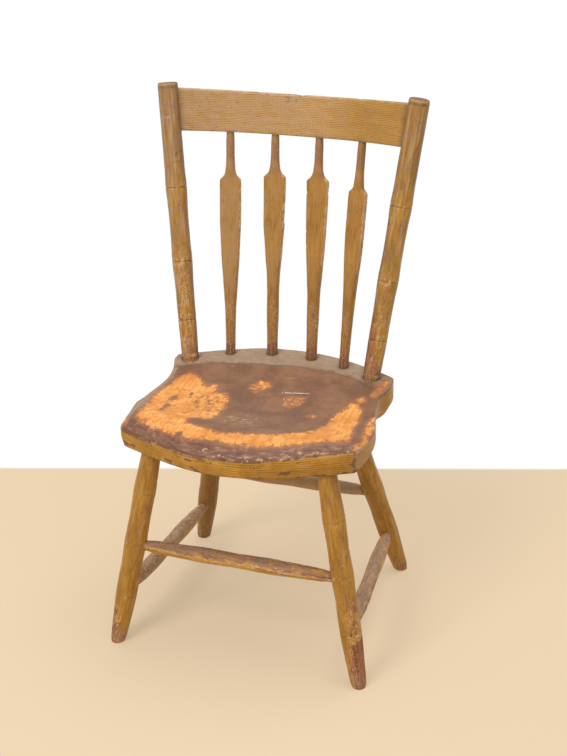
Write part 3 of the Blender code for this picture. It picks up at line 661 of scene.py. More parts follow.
DARK_REMAINS = ((-143, -26, 6), (-141, -59, 5), (-142, -77, 4), (-81, -149, 4), (-120, -4, 3))
# Where the brown of the top meets the mustard of the front edge: place across and height.
BROWN_EDGE = (
    (-188, 386.9), (-175, 385.4), (-159, 383.6), (-138, 383.9), (-117, 386.2), (-101, 386.4),
    (-86, 385.8), (-73, 383.8), (-61, 382.7), (-46, 383.8), (-33, 384.9), (-19, 385.7),
    (-6, 387.0), (13, 386.9), (38, 387.0), (67, 389.9), (96, 391.2), (123, 392.7), (151, 393.6),
    (172, 394.1), (187, 395.3),
)
# Chips through the brown near that line and dark spots on the mustard: place across, height
# and radius.
PALE_CHIPS = (
    (-29, 398.5, 1.6), (-7, 394.9, 2.2), (3, 392.8, 2.0), (34, 394.4, 2.4), (88, 396.8, 1.8),
    (98, 394.6, 2.4), (-15, 397.1, 1.5), (123, 394.2, 1.8), (19, 391.4, 1.8), (-54, 382.7, 2.0),
    (-99, 371.0, 2.0), (60, 392.5, 1.5), (145, 396.5, 1.6), (-80, 388.0, 1.6), (-120, 389.0, 1.6),
)
DARK_SPOTS = (
    (-52, 364, 3.0), (-57, 378, 2.0), (95, 370, 3.2), (186, 390, 2.6), (38, 389, 2.0),
    (72, 390, 1.8), (-46, 360, 2.6), (-36, 383, 1.8), (-95, 366, 3.4), (140, 359, 3.0),
    (55, 359, 2.6), (-178, 366, 3.4), (176, 359, 3.2), (187, 376, 1.6),
)
DUSTY_BAND = ((-184, -116), (-181, -83), (-184, -44), (-183, -6), (-178, 24), (-178, 59),
              (-183, 76))
GUTTER_LINE = ((-200, 60), (-171, 74), (-138, 87), (-111, 95), (-66, 102), (-18, 109), (24, 114),
               (74, 112), (111, 103), (146, 90), (200, 62))


def inside(points, outline):
    """How far points lie inside an outline, negative outside."""
    a = np.array(outline)
    b = np.roll(a, -1, axis=0)
    near = np.full(len(points), 1e9)
    crossed = np.zeros(len(points), int)
    for (ax, ay), (bx, by) in zip(a, b):
        ex, ey = bx - ax, by - ay
        px, py = points[:, 0] - ax, points[:, 1] - ay
        t = np.clip((px * ex + py * ey) / (ex * ex + ey * ey), 0.0, 1.0)
        near = np.minimum(near, np.hypot(px - t * ex, py - t * ey))
        spans = (ay > points[:, 1]) != (by > points[:, 1])
        cut = ax + (points[:, 1] - ay) * ex / (ey if abs(ey) > TINY else TINY)
        crossed += spans & (points[:, 0] < cut)
    return np.where(crossed % 2 == 1, near, -near)


def dots(x, z, places):
    """Small round places on the front of the seat."""
    mark = np.zeros(x.shape)
    for px, pz, radius in places:
        gap = np.hypot((x * 1000.0 - px) * 0.35, z * 1000.0 - pz)
        mark = np.maximum(mark, bell(gap, 1.1 * radius))
    return mark


def even(line, count):
    """A closed line of points redrawn with evenly spaced points."""
    ring = np.concatenate([line, line[:1]])
    run = np.concatenate([[0.0], np.cumsum(np.linalg.norm(np.diff(ring, axis=0), axis=1))])
    at = np.linspace(0.0, run[-1], count, endpoint=False)
    return np.stack([np.interp(at, run, ring[:, k]) for k in range(ring.shape[1])], axis=1)


def half_outline(outline, side):
    """One half of the plank's outline, drawn smooth from front to back."""
    knots = np.array([on_seat(side * sx, sy, 0.0)[:2] for sx, sy in outline])
    line = []
    for i in range(len(knots) - 1):
        p = [knots[max(i - 1, 0)], knots[i], knots[i + 1], knots[min(i + 2, len(knots) - 1)]]
        for t in np.linspace(0.0, 1.0, 24, endpoint=False):
            line.append((2 * p[1] + (p[2] - p[0]) * t
                         + (2 * p[0] - 5 * p[1] + 4 * p[2] - p[3]) * t ** 2
                         + (3 * p[1] - p[0] - 3 * p[2] + p[3]) * t ** 3) / 2)
    return np.array(line + [knots[-1]])


def seat_outline():
    """The plank's outline, anticlockwise from the middle of its front edge."""
    left = half_outline(OUTLINE_LEFT, -1.0)[1:-1][::-1]
    whole = np.concatenate([half_outline(OUTLINE_RIGHT, 1.0), left])
    whole[:, 1] += SKEW * whole[:, 0]
    return even(whole, SEAT_SIDES)


def drawn_in(line, side, end):
    """An outline drawn in toward the seat's middle."""
    reach = np.where(line[:, 1] < 0.0, FRONT_REACH, BACK_REACH)
    return np.stack([line[:, 0] * (1.0 - side / HALF_WIDTH), line[:, 1] * (1.0 - end / reach)],
                    axis=1)


def in_metres(pairs):
    """The two columns of a list of places, from millimetres."""
    return [np.array(column) / 1000.0 for column in zip(*pairs)]


def past_gutter(x, y):
    """How far behind the gutter a place on the seat is."""
    return y - eased(*in_metres(GUTTER_LINE), x)


def seat_height(x, y, fall=0.0):
    """The height of the seat's top: the deck, the saddle and the gutter between them."""
    q = 1.0 - (x / SADDLE_HALF[0]) ** 2 - ((y - SADDLE_MIDDLE_Y) / SADDLE_HALF[1]) ** 2
    bowl = SADDLE_BOTTOM + SADDLE_BOWL * (1.0 - np.sqrt(np.maximum(q, 0.0)))
    blend = 0.0008
    height = -blend * np.logaddexp(-(DECK - fall) / blend, -bowl / blend)
    return height - GUTTER_DEPTH * bell(past_gutter(x, y), GUTTER_WIDTH)


def edge_shares(t):
    """How far in and how far down the rounded edge is, at the sides and at the rolled front."""
    turn = t * math.pi / 2
    side = (1.0 - math.sin(turn), 1.0 - math.cos(turn))
    bend = 0.80
    if t < bend:
        q = 0.955 * t / bend
        front = (1.0 - q, 0.84 * q ** 2.2)
    else:
        s = (t - bend) / (1.0 - bend)
        front = (0.045 * (1 - s) ** 2, 0.759 * (1 - s) ** 2 + 2 * s * (1 - s) * 0.838 + s * s)
    return side, front


def plank_rings(line, front):
    """The plank's rings from the middle of its underside to the middle of its top.

    Each has a kind: 0 underside, 1 lower bevel, 2 side, 3 rounded edge and 4 top."""
    share = line[:, 1] / FRONT_REACH
    under_side = FRONT_BEVEL_IN + (BEVEL_IN - FRONT_BEVEL_IN) * ramp(share, -0.70, -0.25)
    under_end = np.where(line[:, 1] < 0.0, FRONT_BEVEL_IN, BEVEL_IN)
    bottom = drawn_in(line, under_side, under_end)
    sink = np.minimum(seat_height(line[:, 0], line[:, 1]) - DECK, 0.0)
    foot = DECK - EDGE_ROUND - (ROLL_DROP - EDGE_ROUND) * front + sink * (1.0 - front)
    rings, kinds = [], []

    def add(flat, height, kind):
        rings.append(np.column_stack([flat, np.broadcast_to(height, len(flat))]))
        kinds.append(kind)

    for s in np.linspace(0.03, 0.985, 14):
        add(bottom * s, UNDERSIDE, 0)
    add(bottom * 0.996, UNDERSIDE + 0.0002, 0)
    for s in np.linspace(0.0, 1.0, 8):
        flat = bottom + (line - bottom) * min(1.0, s * 1.05 + 0.02)
        add(flat, UNDERSIDE + 0.0012 + (BEVEL_HEIGHT - 0.0012) * s, 1)
    bevel_top = UNDERSIDE + BEVEL_HEIGHT
    for s in np.linspace(0.12, 1.0, 9):
        add(line, bevel_top + (foot - bevel_top) * s, 2)
    for t in np.linspace(1.0, 0.0, 27)[1:]:
        (in_side, down_side), (in_front, down_front) = edge_shares(t)
        depth = EDGE_ROUND * in_side * (1.0 - front) + ROLL_DEPTH * in_front * front
        flat = drawn_in(line, depth * (1.0 - front + ROLL_SIDE_SHARE * front), depth)
        small = EDGE_ROUND * down_side * (1.0 - front)
        add(flat, seat_height(flat[:, 0], flat[:, 1], ROLL_DROP * down_front * front) - small, 3)
    inner = rings[-1][:, :2].copy()
    for s in np.linspace(1.0, 0.012, TOP_RINGS + 1)[1:]:
        add(inner * s, seat_height(inner[:, 0] * s, inner[:, 1] * s), 4)
    return np.array(rings), np.repeat(np.array(kinds)[:, None], len(line), axis=1), foot


def bare_mark(flat, shape):
    """How far the brown paint of the top is worn through."""
    at = flat[:, :2] * 1000.0
    bare = np.full(len(flat), -FAR)
    for opened, outline in BARE_PLACES:
        depth = inside(at, outline) * 0.10
        depth = np.where(depth < 0.0, 1.7 * depth, depth)
        if opened < 0.0:
            depth = np.minimum(depth, DEEPEST_FAINT)
        bare = np.maximum(bare, depth + opened)
    bare = np.minimum(bare, DEEPEST)
    bare -= 0.50 * bell(np.hypot(at[:, 0] + 80, at[:, 1] + 25), 45)
    for x, y, radius in DARK_REMAINS:
        bare -= 1.5 * bell(np.hypot(at[:, 0] - x, (at[:, 1] - y) * 0.7), 1.2 * radius)
    return bare.reshape(shape)


def make_seat(material):
    """The plank, dished and worn, with its bruised and chipped edges."""
    line = seat_outline()
    front = ramp(line[:, 1] / FRONT_REACH, -0.10, -0.70)
    grid, kind, foot = plank_rings(line, front)
    front = front[None, :]
    p = grid.reshape(-1, 3)
    own = grid.copy()
    x, y, z = own[:, :, 0], own[:, :, 1], own[:, :, 2]
    upper, lower = kind >= 3, kind <= 2
    bare = bare_mark(p, kind.shape)

    # How far each point lies below the line where the top's brown ends
    front_limit = np.interp(x, *in_metres(BROWN_EDGE))
    side_limit = seat_height(line[:, 0], line[:, 1])[None, :] - 0.0045
    limit = front_limit * front + side_limit * (1.0 - front)
    side = np.where(kind >= 4, -FAR, np.clip((limit - z) / 0.0020, -FAR, FAR))
    side = np.where(kind <= 1, FAR, side)

    # Chips and bruises along the edges
    chip, chip_fine = lumps(own, 0.014, 11), lumps(own, 0.005, 12, 2)
    brink = bell(side, 1.6) * (kind == 3) + bell(z - foot[None, :], 0.0022) * lower
    brink = np.clip(brink, 0.0, 1.0) * front ** 0.5
    near_bottom = bell(z - UNDERSIDE, 0.0030) * lower * (kind >= 1)
    bite = np.maximum(chip - 0.30, 0.0) * (1.4 * brink + 2.0 * near_bottom)
    bite += np.maximum(chip_fine - 0.35, 0.0) * (0.7 * brink + 0.6 * near_bottom)
    bite = np.clip(bite, 0.0, 1.2) * 0.0014
    wave = 0.00045 * lumps(own, 0.060, 21, 2) + 0.00016 * lumps(own, 0.014, 22)
    worn_down = 0.00022 * ramp(bare, -0.1, 0.5) * upper
    grid = grid + outward(grid) * (wave * (kind > 0) - bite - worn_down)[:, :, None]

    # The dusty deck and left band, and grime in the gutter and round the joints
    away = past_gutter(x, y)
    deck = ramp(away, -0.010, 0.012) * upper * (1.0 - 0.65 * ramp(x, 0.105, 0.175))
    band_x, band_y = in_metres(DUSTY_BAND)
    band = bell(x - np.interp(y, band_y, band_x), 0.008) * ramp(y, -0.14, -0.10) * upper
    deck = np.maximum(deck, 0.75 * band)
    grime_and_shade = 0.80 * bell(away, 0.0022) * upper * (1.0 - ramp(x, 0.150, 0.168))
    feet = [(*post_point(s, 0.0)[:2], POST_PROFILE[0][1]) for s in (-1.0, 1.0)]
    feet += [(*on_seat(*row[2], 0.0)[:2], row[3]) for row in SPINDLES]
    ring = np.zeros(x.shape)
    for fx, fy, radius in feet:
        gap = np.hypot(x - fx, y - fy) - radius
        grime_and_shade = np.maximum(grime_and_shade, bell(gap, 0.0024) * upper)
        ring = np.maximum(ring, bell(gap - 0.0040, 0.0020) * upper)
    for leg in (FRONT_LEG, REAR_LEG):
        for s in (-1.0, 1.0):
            hole = on_seat(s * leg[0], leg[1], 0.0)
            gap = np.hypot(x - hole[0], y - hole[1]) - LEG_HOLE
            grime_and_shade = np.maximum(grime_and_shade, bell(gap, 0.004) * (kind == 0))
    grime_and_shade = np.maximum(grime_and_shade, 0.55 * bell(z - UNDERSIDE, 0.0016) * (kind <= 1))

    # Scuffs, specks, worn spots, dust, chips and one long scratch
    ahead = y < FRONT_PART
    scuff = bell((x + 0.004) / 0.045, 1.0) * bell((y + 0.076) / 0.034, 1.0) * upper * 0.60
    scuff += 0.30 * bell((x - 0.03) / 0.06, 1.0) * bell((y - 0.084) / 0.018, 1.0) * upper
    scuff = np.maximum(scuff, 0.25 * brink * front)
    speck_and_highlight = 0.60 * brink + 0.75 * near_bottom + 0.30 * bell(bare, 0.8) * upper + 0.45 * ring
    speck_and_highlight = np.maximum(speck_and_highlight, 0.34 * (kind == 2) * front)
    speck_and_highlight = np.maximum(speck_and_highlight, 0.8 * ramp(scuff, 0.30, 0.60))
    slope = ramp(seat_height(x, y) - z, 0.001, 0.010) * front * upper
    worn = np.maximum(0.22 * near_bottom + 0.08, 1.1 * dots(x, z, DARK_SPOTS) * ahead * lower)
    right_front = ramp(x, 0.185, 0.195) * (kind <= 3) * ramp(-y, 0.045, 0.075)
    waist = ramp(np.abs(x), 0.165, 0.180) * bell(y - 0.006, 0.06) * lower
    dust = np.clip(0.9 * right_front + 0.9 * waist, 0, 1)
    worn = np.maximum(worn, 0.14 * lower * (1.0 - front))
    corner = bell(x - 0.190, 0.0034) * ahead * (kind >= 1) * (kind <= 3)
    worn = np.maximum(worn, 0.80 * corner)
    crust = np.maximum(1.0 * dots(x, z, PALE_CHIPS), 0.50 * bell(side + 0.5, 1.0) * front)
    cluster = ramp(lumps(own * [1, 1, 2], 0.018, 51, 2), 0.0, 0.5)
    crust = np.maximum(crust, 0.80 * bell(side + 1.2, 2.0) * front * cluster)
    strip = ramp(x, 0.172, 0.180) * bell(y - 0.020, 0.034) * bell(side, 1.0) * (kind >= 2)
    scratch = bell(y - 0.040 - (x - 0.019) * 0.14, 0.0009) * ramp(x, 0.017, 0.022)
    scratch = scratch * ramp(x, 0.071, 0.066) * upper
    marks = {"bare": np.clip(bare, -6.0, 6.0), "side": side, "deck": deck,
             "grime_and_shade": np.clip(grime_and_shade, 0, 1), "scuff": scuff, "speck_and_highlight": np.clip(speck_and_highlight, 0, 1),
             "slope": slope, "worn": worn, "dust": dust, "strip": strip, "scratch": scratch,
             "chip": np.maximum(crust * ahead * (kind >= 2) * (kind <= 3),
                                0.18 * ramp(scuff, 0.15, 0.45) * (kind == 4)),
             "below": (kind == 0) * 1.0}
    return build("seat", grid, own, marks, material)


# Turned pieces.

def on_seat(share_x, share_y, height):
    """A point over the seat, from shares of its half width and reach."""
    reach = FRONT_REACH if share_y < 0 else BACK_REACH
    return np.array([share_x * HALF_WIDTH, share_y * reach, height])


def stations(low, high, step, rings, fine=0.0004, spread=0.0026):
    """Places along a piece, closer together round its rings."""
    at = list(np.arange(low, high, step)) + [high]
    for ring in rings:
        at = [t for t in at if abs(t - ring) > spread]
        at += list(np.arange(ring - spread, ring + spread + fine / 2, fine))
    return np.array(sorted(at))


def turned_grid(start, end, at, radii, sides, seed, lump=0.00020):
    """Rings of a turned piece, a little uneven, and their own coordinates."""
    axes = frame_of(start, end)
    turn = np.linspace(0.0, 2.0 * math.pi, sides, endpoint=False)
    circle = np.column_stack([np.cos(turn), np.sin(turn)])
    own = np.zeros((len(at), sides, 3))
    own[:, :, :2] = circle[None] * radii[:, None, None]
    own[:, :, 2] = at[:, None]
    uneven = lump * lumps(own * [1, 1, 0.5] + seed, 0.022, seed, 2)
    uneven += 0.00010 * lumps(own * [1, 1, 0.35] + seed, 0.004, seed + 1, 2)
    dent = np.maximum(lumps(own + 3.0 * seed, 0.011, seed + 2, 2) - 0.52, 0.0) * 0.0020
    own[:, :, :2] *= (1.0 + (uneven - dent) / radii[:, None])[:, :, None]
    return start + own @ axes, own, axes


def groove(at, rings, depth):
    """The depth of the incised rings along a piece."""
    cut = np.zeros(len(at))
    for ring in rings:
        cut += depth * bell(at - ring, RING_WIDTH)
    return cut


def ring_marks(z, rings, width):
    """A mark round each ring of a piece."""
    mark = np.zeros(z.shape)
    for ring in rings:
        mark = np.maximum(mark, bell(z - ring, width))
    return mark


def wear(worn, red, speck_and_highlight, tone, dust, grime_and_shade, rub=-1.0):
    """The marks that old paint reads."""
    return {"worn": worn, "red": red, "speck_and_highlight": np.clip(speck_and_highlight, 0, 1), "tone": tone, "dust": dust,
            "grime_and_shade": np.clip(grime_and_shade, 0, 1), "rub": rub}


def leg_line(side, front):
    """The foot and the seat end of a leg's middle line."""
    sx, sy, out, along = FRONT_LEG if front else REAR_LEG
    top = on_seat(side * sx, sy, UNDERSIDE)
    foot = top + np.array([side * math.tan(math.radians(out)) * UNDERSIDE,
                           math.tan(math.radians(along)) * UNDERSIDE, -UNDERSIDE])
    return foot, top


def make_leg(name, side, front, seed, material):
    """One turned leg, level at the floor."""
    foot, top = leg_line(side, front)
    length = np.linalg.norm(top - foot)
    rings = [share * length for share in LEG_RINGS]
    at = stations(0.0, length + LEG_IN_SEAT, 0.0017, rings)
    shares, radii = zip(*LEG_PROFILE)
    radius = eased(shares, radii, at / length) - groove(at, rings, LEG_RING_DEPTH)
    grid, own, axes = turned_grid(foot, top, at, radius, LEG_SIDES, seed)
    # Slide the lowest rings along the axis so that the foot ends level on the floor
    rise = grid[0, :, 2] / axes[2][2]
    slide = -(1.0 - np.clip(at / 0.030, 0.0, 1.0))[:, None] * rise[None, :]
    own[:, :, 2] += slide
    grid = grid + slide[:, :, None] * axes[2]
    grid[0, :, 2] = 0.0
    grid, own = capped(grid), capped(own)
    normal = outward(grid)
    z = own[:, :, 2]
    share = z / length
    grime_and_shade = 0.42 * ring_marks(z, rings, 0.0010) + 0.9 * bell(grid[:, :, 2] - UNDERSIDE, 0.0035)
    worn = 0.05 + 0.32 * ramp(share, 0.24, 0.05)
    speck_and_highlight = 0.26 + 0.14 * ramp(share, 0.26, 0.10) + 0.34 * ring_marks(z, rings, 0.005)
    tone = 0.05 + 0.40 * ramp(share, 0.25, 0.02) + 0.15 * ramp(share, 0.80, 1.0)
    red = 0.02 + 0.30 * ramp(share, 0.14, 0.02)
    if name == "leg_front_right":
        right = ramp(normal @ np.array([0.85, -0.50, 0.0]), 0.20, 0.85)
        low = ramp(share, 0.56, 0.34)
        bared = ramp(share, 0.25, 0.20) * (0.25 + 0.75 * ramp(right, 0.10, 0.45))
        worn += right * low * 0.32 + 0.55 * bared
        red += right * low * 0.40 + 0.40 * bared
        speck_and_highlight += right * low * 0.26 + 0.06 * low - 0.40 * bell(z - rings[0], 0.006)
        # Painted highlight: a thin pale line of flecks along the lowest ring on the right side
        speck_and_highlight += 0.95 * bell(z - rings[0], 0.0015) * right
    if name == "leg_front_left":
        left = ramp(-normal[:, :, 0], -0.4, 0.3)
        red += (0.45 * bell(share - 0.19, 0.04) + 0.55 * ramp(share, 0.20, 0.15)) * left
        worn += 0.34 * ramp(share, 0.20, 0.16) * left
        speck_and_highlight += 0.34 * ramp(share, 0.24, 0.17) * left
    if name == "leg_rear_left":
        # Painted shade: the whole rear left leg darker, as if it stood in shade
        grime_and_shade = np.maximum(grime_and_shade, 0.60)
    dust = 0.20 * ramp(normal[:, :, 2], 0.1, 0.7)
    dust = dust + (0.35 if front else 0.0) * ramp(share, 0.10, 0.0)
    return build(name, grid, own, wear(worn, red, speck_and_highlight, tone, dust, grime_and_shade), material)


def along_leg(side, front, share):
    """The point of a leg's middle line at a share of the underside's height."""
    foot, top = leg_line(side, front)
    return foot + (top - foot) * share


def make_stretcher(name, start, end, ring_shares, seed, material):
    """One swelling stretcher with two incised rings."""
    span = np.linalg.norm(end - start)
    rings = [share * span for share in ring_shares]
    low, high = -STRETCHER_IN_LEG, span + STRETCHER_IN_LEG
    at = stations(low, high, 0.0018, rings)
    knots = [low, 0.022, 0.034, rings[0] - 0.026, rings[0], (rings[0] + rings[1]) / 2, rings[1],
             rings[1] + 0.026, span - 0.034, span - 0.022, high]
    sizes = [0.0083, 0.0085, 0.0101, 0.0118, 0.0128, 0.0118, 0.0128, 0.0118, 0.0101, 0.0085,
             0.0083]
    radius = eased(knots, sizes, at) - groove(at, rings, STRETCHER_RING_DEPTH)
    grid, own, _ = turned_grid(start, end, at, radius, STRETCHER_SIDES, seed, 0.00018)
    grid, own = capped(grid), capped(own)
    up = outward(grid)[:, :, 2]
    z = own[:, :, 2]
    inner = np.minimum(z, span - z)
    grime_and_shade = 0.35 * ring_marks(z, rings, 0.0010) + 0.80 * bell(inner - 0.0185, 0.0026)
    if name == "stretcher_front":
        facing = up + 0.15 * lumps(np.stack([z, 0.0 * z, 0.0 * z], axis=-1), 0.03, 9)
        facing = facing + 0.36 * (z / span - 0.45)
        worn = 0.70 * ramp(facing, 0.00, 0.30)
        red = 0.46 * ramp(facing, -0.05, 0.25)
        speck_and_highlight = 0.34 + (0.36 + 0.30 * ramp(z / span, 0.35, 0.65)) * bell(facing - 0.22, 0.28)
        tone = 0.10 + 0.30 * ramp(facing, 0.00, 0.35)
        dust = 0.36 * ramp(up, 0.05, 0.6)
        rub = 0.58 * bell(facing - 0.24, 0.24) - 0.1
    elif name == "stretcher_rear":
        worn = 0.22 + 0.20 * ramp(up, 0.0, 0.6)
        red, speck_and_highlight, tone = 0.22, 0.35, 0.60
        dust = 0.60 + 0.30 * ramp(up, 0.0, 0.7)
        rub = -0.5
    else:
        left = name == "stretcher_left"
        worn = (0.56 if left else 0.62) + 0.15 * ramp(up, -0.2, 0.6)
        red, speck_and_highlight, tone = 0.20 if left else 0.50, 0.70 + 0.10 * up, 0.70
        dust = (0.60 if left else 0.42) + 0.26 * ramp(up, 0.0, 0.8)
        rub = -0.35
    return build(name, grid, own, wear(worn, red, speck_and_highlight, tone, dust, grime_and_shade, rub), material)


def true_post_point(side, rise):
    """The point of a post's middle line at a rise above the deck, if the back were true."""
    base = on_seat(side * POST_PLACE[0], POST_PLACE[1], DECK)
    return base + np.array([side * math.tan(math.radians(POST_OUT)) * rise,
                            math.tan(math.radians(POST_BACK)) * rise, rise])


def post_point(side, rise):
    """The point of a post's middle line at a rise above the deck, in the racked back."""
    x, y, z = true_post_point(side, rise)
    below_top = 1.0 - rise / POST_RISE
    return np.array([x - POST_RACK * below_top, y + POST_SKEW * x * below_top, z])


# The direction toward the camera: the back's sides that turn away from it get painted shade, and
# the posts' flecks gather on the side toward it.
TOWARD_CAMERA = np.array([0.30, -0.95, 0.0])


def make_post(name, side, seed, material):
    """One back post with three incised rings and a worn flat top."""
    base, top = post_point(side, 0.0), post_point(side, POST_RISE)
    length = np.linalg.norm(top - base)
    rings = [share * length for share in POST_RINGS]
    at = stations(-0.010, length, 0.0017, rings)
    at = np.unique(np.concatenate([at, length - np.array(POST_TOP_ROWS)]))
    shares, radii = zip(*POST_PROFILE)
    radius = eased(shares, radii, at / length) - groove(at, rings, POST_RING_DEPTH)
    grid, own, axes = turned_grid(base, top, at, radius, POST_SIDES, seed, 0.00018)
    grid, own = capped(grid), capped(own)
    normal = outward(grid)
    z = own[:, :, 2]
    share = z / length
    facing = normal @ TOWARD_CAMERA
    cap = ramp(normal @ axes[2], 0.55, 0.9) * ramp(share, 0.98, 0.99)
    # The rim round the top: its pale flecks are worn paint and also a painted highlight
    rim = bell(share - 0.994, 0.006) * (1.0 - cap)
    grime_and_shade = 0.60 * ring_marks(z, rings, 0.0010) + 0.80 * bell(z - 0.001, 0.0030) + 0.30 * cap
    # Painted shade: a dark line just below the top's rim
    grime_and_shade += 0.70 * bell(share - 0.985, 0.0035)
    # Painted shade: darker as the post's surface turns away from the camera
    grime_and_shade += 0.62 * ramp(-facing, -0.78, -0.15)
    worn = 0.04 + 0.24 * ramp(share, 0.15, 0.02) + 0.12 * ramp(share, 0.36, 0.15) + 0.60 * cap
    speck_and_highlight = 0.26 + 0.44 * ramp(share, 0.62, 0.15) * ramp(facing, 0.2, 0.9) + 0.2 * cap + 0.3 * rim
    speck_and_highlight += 0.40 * ring_marks(z, rings, 0.007) + 0.25 * bell(z - 0.006, 0.004)
    red = 0.08 + 0.62 * ramp(share, 0.09, 0.01) + 0.90 * cap + 0.16 * ramp(share, 0.45, 0.15)
    tone = 0.40 + 0.30 * ramp(share, 0.45, 0.95)
    grime_and_shade += 0.20 * ramp(share, 0.62, 0.80) * (1.0 - cap)
    if side > 0:
        tone -= 0.30
        left = ramp(-normal[:, :, 0], -0.35, 0.15)
        red += 1.50 * bell(share - 0.10, 0.07) * left
        speck_and_highlight += 0.20 * bell(share - 0.13, 0.06) * left - 0.12 * ramp(share, 0.5, 0.3)
    dust = 0.12 + 0.04 * cap
    # Rubbed paint round the top's rim, also a painted highlight
    rub = 1.2 * (1.0 - cap) * bell(share - 0.996, 0.004) - 0.4
    return build(name, grid, own, wear(worn, red, speck_and_highlight, tone, dust, grime_and_shade, rub), material)


# The crest rail and the spindles.

CREST_REACH = 0.955
# Nicks in the crest's top edge: place across, half width and depth as a share.
CREST_NICKS = ((0.004, 0.0055, 1.3), (0.100, 0.0040, 0.9), (-0.062, 0.0030, 0.7),
               (0.052, 0.0026, 0.5), (-0.120, 0.0026, 0.5))


def crest_point(across, up, through):
    """Points of the crest board, from arrays across, up its height and through it."""
    lean = math.radians(POST_BACK)
    low = true_post_point(1.0, CREST_RISE)
    x = across * (low[0] + up * math.cos(lean) * math.tan(math.radians(POST_OUT)))
    bow = CREST_BOW * (1.0 - np.abs(across) ** CREST_POWER)
    slope = (-np.sign(across) * CREST_BOW * CREST_POWER
             * np.abs(across) ** (CREST_POWER - 1.0) / low[0])
    turn = np.arctan(slope)
    x = x - through * np.sin(turn)
    back = bow + through * np.cos(turn)
    return np.stack([x, low[1] + up * math.sin(lean) + back * math.cos(lean),
                     low[2] + up * math.cos(lean) - back * math.sin(lean)], axis=-1)


def crest_outline(tall):
    """One cross section of the crest board as (up, through) pairs, anticlockwise."""
    half, turn = CREST_THICKNESS / 2, CREST_CORNER
    arc = np.radians(np.linspace(0.0, 90.0, 6))
    face = np.linspace(turn, tall - turn, 27)[1:-1]
    flat = np.linspace(turn - half, half - turn, 4)[1:-1]
    line = [(turn - turn * math.cos(a), half - turn + turn * math.sin(a)) for a in arc]
    line += [(up, half) for up in face]
    line += [(tall - turn + turn * math.sin(a), half - turn + turn * math.cos(a)) for a in arc]
    line += [(tall, through) for through in flat[::-1]]
    line += [(tall - turn + turn * math.cos(a), turn - half - turn * math.sin(a)) for a in arc]
    line += [(up, -half) for up in face[::-1]]
    line += [(turn - turn * math.sin(a), turn - half - turn * math.cos(a)) for a in arc]
    line += [(0.0, through) for through in flat]
    return np.array(line)


def make_crest(material):
    """The bent board between the posts, its corners rubbed and nicked."""
    across = np.linspace(-CREST_REACH, CREST_REACH, 250)
    tall = CREST_HEIGHT - CREST_DIP * (1.0 - across ** 2)
    half_run = true_post_point(1.0, CREST_RISE)[0]
    section = np.array([crest_outline(t) for t in tall])
    place = np.broadcast_to((across * half_run)[:, None], section.shape[:2])
    own = np.dstack([section[:, :, 0], section[:, :, 1], place])
    up, through = own[:, :, 0], own[:, :, 1]
    nick = np.maximum(lumps(own, 0.010, 31, 2) - 0.45, 0.0)
    named = np.zeros(up.shape)
    for middle, wide, deep in CREST_NICKS:
        named += deep * bell(place - middle, wide)
    low_nick = np.maximum(lumps(own + 5.0, 0.012, 33, 2) - 0.40, 0.0)
    change = low_nick * bell(up, 0.0016) * 0.0010
    change -= (nick + named) * bell(tall[:, None] - up, 0.0016) * 0.0011
    wave = 0.00025 * lumps(own, 0.050, 35, 2) + 0.00008 * lumps(own, 0.007, 36, 2) - 0.0002
    grid = crest_point(across[:, None], up + change, through + wave * np.sign(through))
    grid, own = capped(grid, 3), capped(own, 3)
    if np.sum(outward(grid)[100] * (grid[100] - grid[100].mean(axis=0))) < 0:
        grid, own = grid[:, ::-1], own[:, ::-1]
    up, through, place = own[:, :, 0], own[:, :, 1], own[:, :, 2]
    side = place / place.max()
    below_top = CREST_HEIGHT - CREST_DIP * (1.0 - (CREST_REACH * side) ** 2) - up
    edge = np.maximum(bell(below_top, 0.0028), bell(up, 0.0026))
    arris = np.clip(edge * ramp(np.abs(through), 0.0035, 0.0062), 0, 1)
    bites = np.zeros(up.shape)
    for middle, wide, deep in CREST_NICKS:
        bites += 0.8 * deep * bell(place - middle, 1.4 * wide) * bell(below_top, 0.003)
    end = place.max() - np.abs(place)
    grime_and_shade = 0.65 * bell(end - 0.004, 0.006) + 0.10 * edge + 0.4 * np.clip(bites, 0, 1)
    grime_and_shade += 0.12 * ramp(np.abs(side + 0.1), 0.35, 0.8)
    for row in SPINDLES:
        near = bell(place - row[1] * half_run, 0.009) * bell(up, 0.004)
        grime_and_shade = np.maximum(grime_and_shade, 0.70 * near)
    spot = bell(np.hypot(place + 0.098, up - 0.049), 0.0026) * (through < 0)
    grime_and_shade = np.maximum(grime_and_shade, 0.8 * spot)
    worn = np.maximum(0.02 + 0.24 * arris, 0.7 * bites)
    red = 0.04 + 0.20 * arris
    speck_and_highlight = 0.08 + 0.50 * arris
    tone = 0.52 - 0.50 * ramp(side, 0.1, 0.9) + 0.10 * edge
    dust = 0.10 + 0.30 * bell(below_top, 0.002) + 0.15 * ramp(-side, -0.4, 0.6)
    return build("crest_rail", grid, own, wear(worn, red, speck_and_highlight, tone, dust, grime_and_shade), material)


# How much of its right front arris each spindle has lost.
RUBBED_ARRIS = {"spindle_outer_left": 0.50, "spindle_inner_left": 0.45,
                "spindle_inner_right": 1.00, "spindle_outer_right": 0.95}


def spindle_section(wide, deep, power, count):
    """One evenly spaced cross section of a spindle."""
    turn = np.linspace(0.0, 2.0 * math.pi, 241)[:-1]
    c, s = np.cos(turn), np.sin(turn)
    line = np.column_stack([wide * np.sign(c) * np.abs(c) ** (2.0 / power),
                            deep * np.sign(s) * np.abs(s) ** (2.0 / power)])
    return even(line, count)


